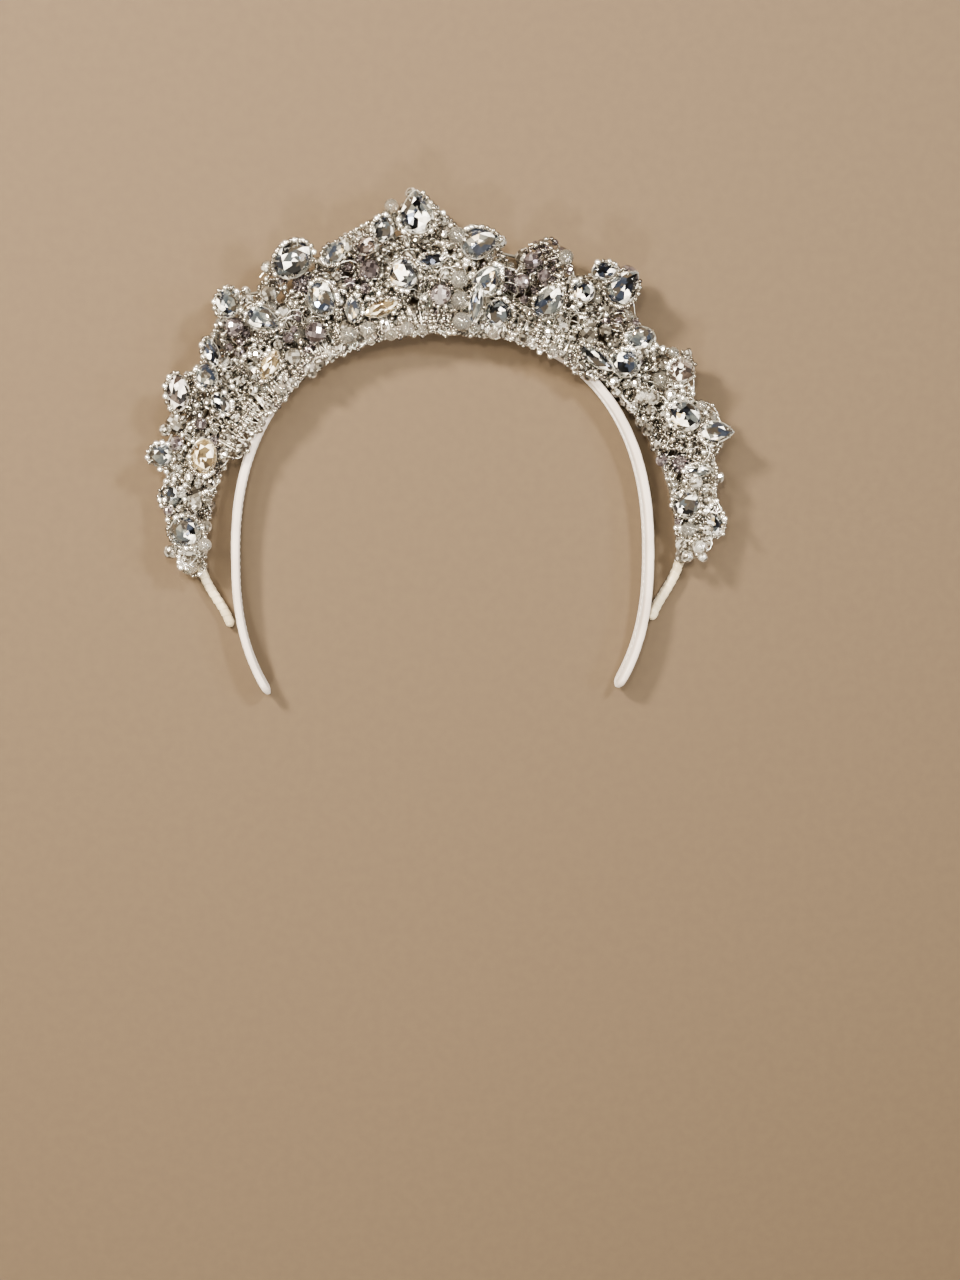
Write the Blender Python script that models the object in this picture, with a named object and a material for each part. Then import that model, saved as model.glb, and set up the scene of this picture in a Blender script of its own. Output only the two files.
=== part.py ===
"""Bridal tiara: a crest of cut stones and threaded crystal beads on a satin-covered headband.

The tiara lies on its back. +X runs to the right of the crest's front, +Y up through its peak and +Z out
of its front. A bearing is the angle from +Y towards +X, in degrees, seen from the front.
"""
import math
from collections import namedtuple

import bpy
import numpy as np
from mathutils import Matrix, Vector

# Headband, measured on its outer face
BAND_HALF_WIDTH = 0.0755
BAND_RISE = 0.084
BAND_SQUARENESS = 2.35
LEG_REACH = 0.048
LEG_CURL = 0.62
BAND_WIDTH = 0.011
BAND_CROWN_THICKNESS = 0.0040
BAND_TIP_THICKNESS = 0.0028
BAND_EDGE_CHAMFER = 0.0008
BAND_STATIONS = 48

# Gap that every piece keeps to the one that it sits on
CLEARANCE = 0.0003

# Crest: its rise above its rail, how far it stands off the headband at the sides, its forward lean
CREST_RISE = 0.0457
CREST_SIDE_GAP = 0.0085
CREST_LEAN = 7.0
CREST_END_BEARING = 89.0
SIDE_GAP_START_BEARING = 32.0
STRIP_LANDING_BEARING = 107.0

# Silver frame behind the beads
FRAME_BAR = 0.0010
FRAME_LEVEL = 0.0026
FRAME_RAIL_SPACING = 0.0030
FRAME_INSET = 0.0045

# Beads threaded on stems
BEAD_DIAMETER = 0.0082
BEAD_SHARES = (1.0, 0.84, 0.94, 0.78, 0.90)
BEAD_BELT_SHARE = 0.40
BEAD_LENGTH_SHARE = 0.88
BEAD_SIDE_SPACE = 0.0009
BEAD_STEM_SPACE = 0.0002
STEM_RADIUS = 0.00045
BASE_WIRE_RADIUS = 0.0006
FIRST_BEAD_GAP = 0.0008
STEM_STAGGER = 0.0028
BEAD_SIDES = 10
BASE_WIRE_SIDES = 6

# Satin-wrapped strips from the crest's ends to the headband
STRIP_THICKNESS = 0.0034
STRIP_HEIGHT = 0.0042
STRIP_REAR_STEP = 0.0004
STRIP_STATIONS = 12

# Cut stones
STONE_SIZE = 0.010
CUP_DEPTH = 0.0009
CUP_DEPTH_SHARE = 0.14
CROWN_SHARE = 0.26
GIRDLE_SHARE = 0.05
TABLE_SHARE = 0.56
CUP_FOOT_SHARE = 0.62
STONE_SIDES = 12
PEAR_WIDENING = 1.22
PEAR_TAPER = 0.7
NAVETTE_TAPER = 0.5

# Largest angle between two faces that are shaded as one smooth surface, in degrees
SMOOTH_CLOTH = 50
SMOOTH_WIRE = 40
SMOOTH_BEAD = 30
SMOOTH_STONE = 5

# Grid on which pieces are settled on each other
RELIEF_CELL = 0.00025

Edge = namedtuple("Edge", "bearing rise")
Cut = namedtuple("Cut", "kind bearing rise length width spin lean roll finish")

# Outer line of the crest: rise as a share of CREST_RISE
CREST_OUTLINE = (
    Edge(-89.0, 0.20), Edge(-81.6, 0.29), Edge(-78.0, 0.35), Edge(-71.0, 0.39), Edge(-69.0, 0.53),
    Edge(-60.7, 0.53), Edge(-56.0, 0.64), Edge(-52.0, 0.55), Edge(-45.0, 0.61), Edge(-37.8, 0.83),
    Edge(-34.5, 0.64), Edge(-25.4, 0.79), Edge(-22.3, 0.60), Edge(-19.5, 0.70), Edge(-10.0, 0.82),
    Edge(-4.6, 1.00), Edge(0.0, 0.79), Edge(3.0, 0.69), Edge(8.0, 0.67), Edge(11.7, 0.48),
    Edge(17.6, 0.73), Edge(21.0, 0.70), Edge(24.8, 0.50), Edge(32.6, 0.80), Edge(37.0, 0.53),
    Edge(45.0, 0.46), Edge(49.4, 0.64), Edge(57.0, 0.44), Edge(60.0, 0.55), Edge(65.5, 0.58),
    Edge(69.0, 0.40), Edge(77.0, 0.31), Edge(82.7, 0.38), Edge(89.0, 0.20),
)

# Main stones, from the back of the crest to its front: rise of the stone's middle as a share of
# CREST_RISE, length and width as shares of STONE_SIZE, spin of its length from straight out, and
# lean and roll of its face in degrees
STONES = (
    Cut("pear", -4.6, 0.81, 1.50, 1.15, 0, 3, -4, "clear"),
    Cut("oval", -26.6, 0.69, 1.45, 1.15, 78, 4, 5, "clear"),
    Cut("pear", 6.0, 0.58, 1.35, 1.05, 70, -5, 4, "clear"),
    Cut("pear", 32.9, 0.63, 1.35, 1.05, 8, 5, -5, "clear"),
    Cut("oval", 58.7, 0.29, 1.20, 1.00, 60, -3, 5, "clear"),
    Cut("round", -8.2, 0.35, 1.00, 1.00, 0, -6, 4, "clear"),
    Cut("pear", 8.8, 0.32, 1.20, 0.95, 25, 4, -6, "clear"),
    Cut("oval", -24.7, 0.33, 1.20, 0.95, 10, -5, -5, "clear"),
    Cut("oval", 21.5, 0.26, 1.25, 0.95, 12, 5, 6, "clear"),
    Cut("oval", 42.4, 0.19, 1.02, 0.95, 70, 6, -4, "clear"),
    Cut("oval", -65.3, 0.16, 1.25, 0.88, 66, 5, -4, "cream"),
    Cut("oval", -82.4, 0.14, 1.10, 1.00, 10, -5, 6, "clear"),
    Cut("round", 77.0, 0.07, 0.95, 0.95, 0, 6, 5, "clear"),
    Cut("pear", -36.2, 0.43, 1.20, 0.82, 150, -4, -6, "clear"),
    Cut("pear", 64.6, 0.47, 1.15, 0.80, 25, 6, 4, "clear"),
    Cut("oval", -56.9, 0.55, 1.25, 0.80, 55, 5, 6, "smoke"),
    Cut("oval", 41.3, 0.40, 1.00, 0.82, 55, -6, -4, "clear"),
    Cut("round", 12.2, 0.08, 0.95, 0.95, 0, 5, -6, "clear"),
    Cut("round", 51.0, 0.47, 0.88, 0.88, 0, 5, 5, "smoke"),
    Cut("oval", -39.4, 0.70, 1.00, 0.80, 40, 6, -5, "clear"),
    Cut("oval", 83.0, 0.28, 0.92, 0.70, 75, 6, -6, "clear"),
    Cut("oval", -10.6, 0.70, 0.85, 0.72, 30, -4, 6, "clear"),
    Cut("round", 27.0, 0.43, 0.78, 0.78, 0, -5, -6, "clear"),
    Cut("oval", -75.8, 0.30, 0.98, 0.76, 80, 6, 4, "clear"),
    Cut("oval", -51.4, 0.43, 0.85, 0.72, 40, -6, 5, "clear"),
    Cut("round", -68.3, 0.46, 0.80, 0.80, 0, 5, -5, "clear"),
    Cut("oval", -19.6, 0.62, 0.88, 0.64, 70, 5, 4, "clear"),
    Cut("oval", 28.2, 0.64, 0.85, 0.62, 60, 6, 6, "clear"),
    Cut("oval", -13.9, 0.60, 0.74, 0.60, 80, -5, -4, "smoke"),
    Cut("navette", -14.0, 0.13, 1.25, 0.56, 84, 5, 4, "cream"),
    Cut("navette", 6.4, 0.13, 1.40, 0.46, 4, -4, 6, "clear"),
    Cut("navette", 36.6, 0.07, 1.40, 0.52, 88, 6, -3, "clear"),
    Cut("navette", -41.3, 0.15, 1.15, 0.58, 70, 5, 5, "cream"),
    Cut("navette", -47.3, 0.52, 0.98, 0.50, 30, -5, -6, "clear"),
    Cut("navette", -2.3, 0.45, 1.00, 0.44, 86, 5, 4, "clear"),
    Cut("navette", -19.9, 0.17, 0.95, 0.52, 20, -6, 5, "clear"),
    Cut("oval", -53.8, 0.24, 0.78, 0.60, 20, 4, -6, "clear"),
    Cut("navette", 70.6, 0.22, 0.90, 0.46, 20, -4, 5, "clear"),
)

FINISHES = {
    "satin": ((0.82, 0.77, 0.72), 0.45, 0.0, 0.0),
    "strip": ((0.69, 0.64, 0.52), 0.45, 0.0, 0.0),
    "silver": ((0.80, 0.79, 0.77), 0.22, 1.0, 0.0),
    "beads": ((0.72, 0.69, 0.66), 0.10, 0.0, 0.6),
    "clear": ((0.90, 0.92, 0.92), 0.03, 0.0, 0.7),
    "cream": ((0.80, 0.72, 0.55), 0.08, 0.0, 0.3),
    "smoke": ((0.28, 0.24, 0.25), 0.05, 0.0, 0.5),
}


def clear_scene():
    """Remove every object of the scene."""
    for obj in list(bpy.data.objects):
        bpy.data.objects.remove(obj)


def finish(name):
    """Return the Principled material of one finish, made the first time that it is asked for."""
    if name in bpy.data.materials:
        return bpy.data.materials[name]
    colour, roughness, metallic, transmission = FINISHES[name]
    material = bpy.data.materials.new(name)
    material.use_nodes = True
    shader = material.node_tree.nodes["Principled BSDF"]
    shader.inputs["Base Color"].default_value = (*colour, 1.0)
    shader.inputs["Roughness"].default_value = roughness
    shader.inputs["Metallic"].default_value = metallic
    shader.inputs["Transmission Weight"].default_value = transmission
    material.diffuse_color = (*colour, 1.0)
    return material


def add_object(name, points, faces, finish_name, parent, sharp_angle):
    """Make one mesh object, shaded smooth up to the sharp angle, under the tiara's empty."""
    mesh = bpy.data.meshes.new(name)
    mesh.from_pydata([tuple(p) for p in points], [], faces)
    mesh.update()
    mesh.shade_smooth()
    mesh.set_sharp_from_angle(angle=math.radians(sharp_angle))
    mesh.materials.append(finish(finish_name))
    obj = bpy.data.objects.new(name, mesh)
    bpy.context.scene.collection.objects.link(obj)
    obj.parent = parent
    return obj


def smooth_step(value, low, high):
    """Rise smoothly from 0 at low to 1 at high."""
    t = min(1.0, max(0.0, (value - low) / (high - low)))
    return t * t * (3.0 - 2.0 * t)


def at_bearing(radius, bearing, z=0.0):
    """Return the point at a radius and bearing round the headband's middle."""
    angle = math.radians(bearing)
    return Vector((radius * math.sin(angle), radius * math.cos(angle), z))


def band_radius(bearing):
    """Return the radius of the headband's outer face: two half superellipses that meet at 90 degrees."""
    angle = math.radians(bearing)
    depth = BAND_RISE if math.cos(angle) >= 0.0 else LEG_REACH / LEG_CURL
    across = abs(math.sin(angle)) / BAND_HALF_WIDTH
    along = abs(math.cos(angle)) / depth
    return (across ** BAND_SQUARENESS + along ** BAND_SQUARENESS) ** (-1.0 / BAND_SQUARENESS)


def tip_bearing():
    """Return the bearing of the legs' tips, LEG_REACH below the headband's widest line."""
    half_width = BAND_HALF_WIDTH * (1.0 - LEG_CURL ** BAND_SQUARENESS) ** (1.0 / BAND_SQUARENESS)
    return 90.0 + math.degrees(math.atan2(LEG_REACH, half_width))


def stand_off(bearing):
    """Return how far the crest's line stands off the headband: nothing on top, the side gap at its ends."""
    opening = smooth_step(abs(bearing), SIDE_GAP_START_BEARING, CREST_END_BEARING)
    closing = smooth_step(abs(bearing), CREST_END_BEARING, STRIP_LANDING_BEARING)
    return CREST_SIDE_GAP * (opening - closing)


def rail_radius(bearing):
    """Return the radius of the middle of the crest's rail, clear of the headband."""
    return band_radius(bearing) + CLEARANCE + FRAME_BAR + stand_off(bearing)


def crest_height(bearing):
    """Return how far the crest's outer line rises above its rail."""
    bearings = [edge.bearing for edge in CREST_OUTLINE]
    rises = [edge.rise for edge in CREST_OUTLINE]
    return CREST_RISE * float(np.interp(bearing, bearings, rises))


def crest_point(bearing, height, lift=0.0):
    """Return a point of the crest: height above its rail, lift in front of the frame's middle plane."""
    slope = math.tan(math.radians(CREST_LEAN))
    return at_bearing(rail_radius(bearing) + height, bearing, FRAME_LEVEL + height * slope + lift)


def stem_bearings():
    """Return the bearings of the bead stems, evenly spaced and mirrored about the peak's middle."""
    spacing = BEAD_DIAMETER + BEAD_SIDE_SPACE
    half_length = math.radians(CREST_END_BEARING) * rail_radius(0.0)
    count = max(2, round(half_length / spacing))
    step = CREST_END_BEARING / count
    right = [(k + 0.5) * step for k in range(count)]
    return [-bearing for bearing in reversed(right)] + right


def loft(rings, closed_ends=True):
    """Join rings of equal length into one closed skin and return its points and faces."""
    sides = len(rings[0])
    points = [point for ring in rings for point in ring]
    faces = []
    for k in range(len(rings) - 1):
        for i in range(sides):
            j = (i + 1) % sides
            faces.append((k * sides + i, k * sides + j, (k + 1) * sides + j, (k + 1) * sides + i))
    if closed_ends:
        last = (len(rings) - 1) * sides
        faces.append(tuple(reversed(range(sides))))
        faces.append(tuple(range(last, last + sides)))
    return points, faces


def chamfered_section(middle, outward, thickness, low, high, chamfer):
    """Return one eight-sided section, from low to high in Z and thickness across, wound for a loft."""
    half = thickness / 2.0
    corners = (
        (half, low + chamfer), (half, high - chamfer), (half - chamfer, high), (-half + chamfer, high),
        (-half, high - chamfer), (-half, low + chamfer), (-half + chamfer, low), (half - chamfer, low),
    )
    return [Vector((middle.x, middle.y, 0.0)) + outward * across + Vector((0.0, 0.0, z))
            for across, z in corners]


def outward_normals(line):
    """Return the in-plane outward normal at each point of a line that runs by rising bearing."""
    normals = []
    for k, point in enumerate(line):
        before = line[max(0, k - 1)]
        after = line[min(len(line) - 1, k + 1)]
        along = (after - before).normalized()
        normals.append(Vector((-along.y, along.x, 0.0)).normalized())
    return normals


def build_headband(parent):
    """Loft the satin-covered headband, its rear edge flat at Z zero and its tips narrowed."""
    end = tip_bearing()
    bearings = [end * (2.0 * k / BAND_STATIONS - 1.0) for k in range(BAND_STATIONS + 1)]
    outer = [at_bearing(band_radius(bearing), bearing) for bearing in bearings]
    sections = []
    for bearing, point, normal in zip(bearings, outer, outward_normals(outer)):
        share = abs(bearing) / end
        thickness = BAND_CROWN_THICKNESS + (BAND_TIP_THICKNESS - BAND_CROWN_THICKNESS) * share
        middle = point - normal * thickness / 2.0
        sections.append(
            chamfered_section(middle, normal, thickness, 0.0, BAND_WIDTH, BAND_EDGE_CHAMFER))
    points, faces = loft(sections)
    return add_object("headband", points, faces, "satin", parent, SMOOTH_CLOTH)


def build_frame(parent):
    """Make the silver frame: two rails, cross rows and stems, as bars along the edges of one sheet."""
    bearings = [-CREST_END_BEARING, *stem_bearings(), CREST_END_BEARING]
    points = []
    for bearing in bearings:
        top = max(crest_height(bearing) - FRAME_INSET, 2.0 * FRAME_RAIL_SPACING)
        span = top - FRAME_RAIL_SPACING
        for height in (0.0, FRAME_RAIL_SPACING, FRAME_RAIL_SPACING + span / 2.0, top):
            points.append(crest_point(bearing, height))
    rows = 4
    faces = []
    for k in range(len(bearings) - 1):
        for row in range(rows - 1):
            low = k * rows + row
            faces.append((low, low + 1, low + rows + 1, low + rows))
    frame = add_object("crest_frame", points, faces, "silver", parent, SMOOTH_WIRE)
    bars = frame.modifiers.new("bars", "WIREFRAME")
    bars.thickness = FRAME_BAR
    bars.use_replace = True
    bars.use_boundary = True
    bars.use_even_offset = True
    bars.use_relative_offset = False
    return frame


def ring_across(middle, along, radius, sides):
    """Return a ring of points round a middle, square to the direction along, wound for a loft."""
    across = along.cross(Vector((0.0, 0.0, 1.0))).normalized()
    upward = across.cross(along).normalized()
    ring = []
    for k in range(sides):
        angle = -2.0 * math.pi * k / sides
        ring.append(middle + across * radius * math.cos(angle) + upward * radius * math.sin(angle))
    return ring


def bead_heights(bearing, stagger):
    """Return how far the middle of each bead on a stem is above the rail."""
    radius = BEAD_DIAMETER / 2.0
    first = BASE_WIRE_RADIUS + FIRST_BEAD_GAP + radius
    pitch = BEAD_DIAMETER + BEAD_STEM_SPACE
    room = crest_height(bearing) - radius - first
    if room - stagger > pitch:
        first += stagger
        room -= stagger
    gaps = max(0, int(room / pitch))
    if gaps == 0:
        return [first]
    return [first + room * k / gaps for k in range(gaps + 1)]


def stem_lift():
    """Return how far the stems' wire is in front of the frame's middle plane: a bead sits on the bars."""
    return FRAME_BAR / 2.0 + (CLEARANCE + BEAD_DIAMETER / 2.0) / math.cos(math.radians(CREST_LEAN))


def stem_skin(bearing, index):
    """Return points and faces of one stem and its beads, from inside the base wire to its last bead."""
    lift = stem_lift()
    start = crest_point(bearing, 0.0, lift)
    along = (crest_point(bearing, CREST_RISE, lift) - start).normalized()
    rings = [ring_across(start, along, STEM_RADIUS, BEAD_SIDES)]
    for row, height in enumerate(bead_heights(bearing, STEM_STAGGER * (index % 2))):
        middle = crest_point(bearing, height, lift)
        radius = BEAD_DIAMETER / 2.0 * BEAD_SHARES[(row + 2 * index) % len(BEAD_SHARES)]
        profile = (
            (-BEAD_LENGTH_SHARE * radius, STEM_RADIUS), (-BEAD_BELT_SHARE * radius, radius),
            (BEAD_BELT_SHARE * radius, radius), (BEAD_LENGTH_SHARE * radius, STEM_RADIUS),
        )
        for offset, ring_radius in profile:
            rings.append(ring_across(middle + along * offset, along, ring_radius, BEAD_SIDES))
    return loft(rings)


def build_bead_string(name, bearings, parent):
    """Thread beads on stems and join the stems to the base wire that runs along the rail."""
    lift = stem_lift()
    half_step = abs(bearings[1] - bearings[0]) / 2.0
    low = min(bearings) - half_step
    high = max(bearings) + half_step
    margin = math.degrees((BASE_WIRE_RADIUS + CLEARANCE) / rail_radius(0.0))
    low += margin
    high -= margin
    count = 2 * len(bearings) + 1
    line = [crest_point(low + (high - low) * k / (count - 1), 0.0, lift) for k in range(count)]
    rings = []
    for k, point in enumerate(line):
        along = (line[min(count - 1, k + 1)] - line[max(0, k - 1)]).normalized()
        rings.append(ring_across(point, along, BASE_WIRE_RADIUS, BASE_WIRE_SIDES))
    string = add_object(name, *loft(rings), "beads", parent, SMOOTH_BEAD)

    points = []
    faces = []
    for index, bearing in enumerate(bearings):
        more_points, more_faces = stem_skin(bearing, index)
        faces += [tuple(index + len(points) for index in face) for face in more_faces]
        points += more_points
    stems = add_object(name + "_stems", points, faces, "beads", parent, SMOOTH_BEAD)
    stems.hide_render = True
    stems.display_type = "WIRE"
    joint = string.modifiers.new("stems", "BOOLEAN")
    joint.operation = "UNION"
    joint.object = stems
    return string


def build_side_strip(name, side, parent):
    """Loft the satin-wrapped strip that runs from the crest's end to the headband's outer face."""
    gap = math.degrees((CLEARANCE + FRAME_BAR / 2.0) / rail_radius(CREST_END_BEARING))
    start = CREST_END_BEARING + gap
    bearings = [start + (STRIP_LANDING_BEARING - start) * k / (STRIP_STATIONS - 1)
                for k in range(STRIP_STATIONS)]
    if side < 0:
        bearings = [-bearing for bearing in reversed(bearings)]
    low = STRIP_REAR_STEP
    high = STRIP_REAR_STEP + STRIP_HEIGHT
    line = []
    for bearing in bearings:
        reach = band_radius(bearing) + stand_off(bearing) + 2.0 * CLEARANCE + STRIP_THICKNESS / 2.0
        line.append(at_bearing(reach, bearing))
    sections = [chamfered_section(point, normal, STRIP_THICKNESS, low, high, BAND_EDGE_CHAMFER)
                for point, normal in zip(line, outward_normals(line))]
    return add_object(name, *loft(sections), "strip", parent, SMOOTH_CLOTH)


def girdle_point(kind, turn):
    """Return a point of a stone's outline, 1 long and 1 wide, at a turn from the end that points out."""
    along = math.cos(turn) / 2.0
    across = math.sin(turn) / 2.0
    if kind == "pear":
        across *= PEAR_WIDENING * abs(math.sin(turn / 2.0)) ** PEAR_TAPER
    if kind == "navette":
        across *= abs(math.sin(turn)) ** NAVETTE_TAPER
    return Vector((across, along, 0.0))


def stone_ring(stone, share, z, half_turns):
    """Return one ring of a stone in its own frame, at a share of its girdle and a height."""
    length = stone.length * STONE_SIZE
    width = stone.width * STONE_SIZE
    ring = []
    for k in range(STONE_SIDES):
        turn = -2.0 * math.pi * (k + half_turns / 2.0) / STONE_SIDES
        point = girdle_point(stone.kind, turn)
        ring.append(Vector((point.x * width * share, point.y * length * share, z)))
    return ring


def stone_skin(stone):
    """Return points and faces of a cut stone in its cup: foot, cup, girdle, crown facets and table."""
    width = stone.width * STONE_SIZE
    cup_top = CUP_DEPTH + CUP_DEPTH_SHARE * width
    girdle_top = cup_top + GIRDLE_SHARE * width
    table_level = girdle_top + CROWN_SHARE * width
    rings = [
        stone_ring(stone, CUP_FOOT_SHARE, 0.0, 0),
        stone_ring(stone, 1.0, cup_top, 0),
        stone_ring(stone, 1.0, girdle_top, 0),
    ]
    points, faces = loft(rings, closed_ends=False)
    sides = STONE_SIDES
    table = stone_ring(stone, TABLE_SHARE, table_level, 1)
    girdle_start = 2 * sides
    table_start = 3 * sides
    points += table
    for i in range(sides):
        j = (i + 1) % sides
        faces.append((girdle_start + i, girdle_start + j, table_start + i))
        faces.append((girdle_start + j, table_start + j, table_start + i))
    faces.append(tuple(reversed(range(sides))))
    faces.append(tuple(range(table_start, table_start + sides)))
    return points, faces


class Relief:
    """Height of everything laid so far, on a square grid seen from the front."""

    def __init__(self, half_span, cell, reach):
        self.half_span = half_span
        self.cell = cell
        self.reach = max(1, math.ceil(reach / cell))
        count = 2 * int(half_span / cell) + 1
        self.heights = np.full((count, count), -np.inf)

    def window(self, points, triangles, pick, empty):
        """Return the corner of a piece's window on the grid and its heights there, one per cell."""
        places = (points[:, :2] + self.half_span) / self.cell
        low = np.floor(places.min(axis=0)).astype(int)
        high = np.ceil(places.max(axis=0)).astype(int) + 1
        heights = np.full(tuple(high - low), empty)
        for triangle in triangles:
            a, b, c = places[triangle] - low
            za, zb, zc = points[triangle, 2]
            area = (b[0] - a[0]) * (c[1] - a[1]) - (c[0] - a[0]) * (b[1] - a[1])
            if abs(area) < 1e-6:
                continue
            i0, j0 = np.floor(np.minimum(np.minimum(a, b), c)).astype(int)
            i1, j1 = np.ceil(np.maximum(np.maximum(a, b), c)).astype(int) + 1
            i, j = np.mgrid[i0:i1, j0:j1]
            share_b = ((i - a[0]) * (c[1] - a[1]) - (j - a[1]) * (c[0] - a[0])) / area
            share_c = ((b[0] - a[0]) * (j - a[1]) - (b[1] - a[1]) * (i - a[0])) / area
            inside = (share_b >= 0.0) & (share_c >= 0.0) & (share_b + share_c <= 1.0)
            z = za + share_b * (zb - za) + share_c * (zc - za)
            part = heights[i0:i1, j0:j1]
            part[inside] = pick(part[inside], z[inside])
        return low, heights

    def lay(self, points, triangles):
        """Add a piece's front surface to the relief."""
        low, heights = self.window(points, triangles, np.maximum, -np.inf)
        rows, columns = heights.shape
        part = self.heights[low[0]:low[0] + rows, low[1]:low[1] + columns]
        np.maximum(part, heights, out=part)

    def lift_for(self, points, triangles, clearance):
        """Return how far a piece must rise for its back to clear all that is laid within reach of it."""
        low, heights = self.window(points, triangles, np.minimum, np.inf)
        rows, columns = heights.shape
        lift = 0.0
        for row_step in range(-self.reach, self.reach + 1):
            for column_step in range(-self.reach, self.reach + 1):
                row = low[0] + row_step
                column = low[1] + column_step
                ground = self.heights[row:row + rows, column:column + columns]
                lift = max(lift, float((ground - heights).max()))
        return lift + clearance


def surface_of(obj):
    """Return the points and triangles of an object as its modifiers leave it."""
    evaluated = obj.evaluated_get(bpy.context.evaluated_depsgraph_get())
    mesh = evaluated.to_mesh()
    mesh.calc_loop_triangles()
    points = np.array([vertex.co[:] for vertex in mesh.vertices])
    triangles = np.array([triangle.vertices[:] for triangle in mesh.loop_triangles])
    evaluated.to_mesh_clear()
    return points, triangles


def stone_matrix(stone):
    """Return the place of a stone on the frame's plane, before it is lifted clear of what is behind it."""
    height = stone.rise * CREST_RISE
    place = Matrix.Translation(crest_point(stone.bearing, height, FRAME_BAR / 2.0))
    turn = Matrix.Rotation(-math.radians(stone.bearing), 4, "Z")
    lean = Matrix.Rotation(math.radians(CREST_LEAN + stone.lean), 4, "X")
    roll = Matrix.Rotation(math.radians(stone.roll), 4, "Y")
    spin = Matrix.Rotation(-math.radians(stone.spin), 4, "Z")
    return place @ turn @ lean @ roll @ spin


def build_stones(relief, parent):
    """Make each stone and settle it, back to front, on the pieces behind it."""
    counts = {}
    for stone in STONES:
        counts[stone.kind] = counts.get(stone.kind, 0) + 1
        name = f"{stone.kind}_{counts[stone.kind]:02d}"
        points, faces = stone_skin(stone)
        obj = add_object(name, points, faces, stone.finish, parent, SMOOTH_STONE)
        matrix = stone_matrix(stone)
        placed, triangles = surface_of(obj)
        placed = placed @ np.array(matrix.to_3x3()).T + np.array(matrix.translation)
        lift = relief.lift_for(placed, triangles, CLEARANCE)
        placed[:, 2] += lift
        relief.lay(placed, triangles)
        obj.matrix_basis = Matrix.Translation((0.0, 0.0, lift)) @ matrix


def seat_origin(parent):
    """Move the tiara so that the origin is the middle of its box, on the surface that it lies on."""
    bpy.context.view_layer.update()
    corners = []
    for obj in bpy.data.objects:
        if obj.type == "MESH" and not obj.hide_render:
            points, _ = surface_of(obj)
            matrix = obj.matrix_world
            corners += [matrix @ Vector(point) for point in points]
    low = Vector([min(corner[axis] for corner in corners) for axis in range(3)])
    high = Vector([max(corner[axis] for corner in corners) for axis in range(3)])
    parent.location = (-(low.x + high.x) / 2.0, -(low.y + high.y) / 2.0, -low.z)


def build_tiara():
    """Build every piece of the tiara."""
    clear_scene()
    tiara = bpy.data.objects.new("tiara", None)
    bpy.context.scene.collection.objects.link(tiara)
    bearings = stem_bearings()
    half = len(bearings) // 2
    carriers = [
        build_headband(tiara),
        build_frame(tiara),
        build_bead_string("bead_string_left", bearings[:half], tiara),
        build_bead_string("bead_string_right", bearings[half:], tiara),
        build_side_strip("side_strip_left", -1, tiara),
        build_side_strip("side_strip_right", 1, tiara),
    ]
    half_span = BAND_RISE + CREST_RISE + 2.0 * STONE_SIZE
    relief = Relief(half_span, RELIEF_CELL, CLEARANCE)
    for carrier in carriers:
        relief.lay(*surface_of(carrier))
    build_stones(relief, tiara)
    seat_origin(tiara)


build_tiara()
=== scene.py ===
"""Looks of a bridal tiara: cut stones, crystal beads and silver wire on a satin headband.

The tiara lies on its back. +X runs to the right of the crest's front, +Y up through its peak and +Z out
of its front, in metres. A bearing is the angle from +Y towards +X, in degrees, seen from the front.
"""
from __future__ import annotations

import logging
import math
import random
from dataclasses import dataclass, field
from enum import Enum
from typing import Any, Sequence

import bmesh
import bpy
from bpy.types import Material, Mesh, Node, NodeSocket, NodeTree, Object
from mathutils import Matrix, Vector
from mathutils.bvhtree import BVHTree

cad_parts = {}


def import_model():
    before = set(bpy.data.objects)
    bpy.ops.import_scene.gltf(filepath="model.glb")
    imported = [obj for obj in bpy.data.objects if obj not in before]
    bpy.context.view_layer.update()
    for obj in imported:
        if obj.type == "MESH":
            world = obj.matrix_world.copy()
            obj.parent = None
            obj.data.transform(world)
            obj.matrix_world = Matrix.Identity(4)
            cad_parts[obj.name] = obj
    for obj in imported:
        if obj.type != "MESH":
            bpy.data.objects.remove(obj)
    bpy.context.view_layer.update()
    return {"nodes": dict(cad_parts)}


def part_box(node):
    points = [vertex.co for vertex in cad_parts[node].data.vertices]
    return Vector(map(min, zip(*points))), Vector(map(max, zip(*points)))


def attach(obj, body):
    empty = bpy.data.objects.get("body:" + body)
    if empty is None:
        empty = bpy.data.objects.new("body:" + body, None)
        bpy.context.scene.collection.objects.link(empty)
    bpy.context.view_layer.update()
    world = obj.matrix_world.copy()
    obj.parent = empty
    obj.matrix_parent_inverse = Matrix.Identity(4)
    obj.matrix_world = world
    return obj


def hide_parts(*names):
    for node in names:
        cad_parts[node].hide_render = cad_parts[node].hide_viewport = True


Pair = tuple[float, float]
Corners = tuple[Pair, ...]
LOG = logging.getLogger("tiara")
MM = 0.001
UP = Vector((0.0, 0.0, 1.0))
COAT_ROUGHNESS = 0.02
FULL_TURN = 6.3
INT, FLOAT, OBJECT = "NodeSocketInt", "NodeSocketFloat", "NodeSocketObject"


def linear(hex_colour: str) -> tuple[float, float, float, float]:
    """Turn an sRGB hex colour into a linear one.

    Args:
        hex_colour: Six hex digits after a hash, such as "#f4f1ea".

    Returns:
        Linear red, green and blue, and an alpha of 1.
    """
    channels = [int(hex_colour[k:k + 2], 16) / 255.0 for k in (1, 3, 5)]
    curved = [c / 12.92 if c <= 0.04045 else ((c + 0.055) / 1.055) ** 2.4 for c in channels]
    return (curved[0], curved[1], curved[2], 1.0)


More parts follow.
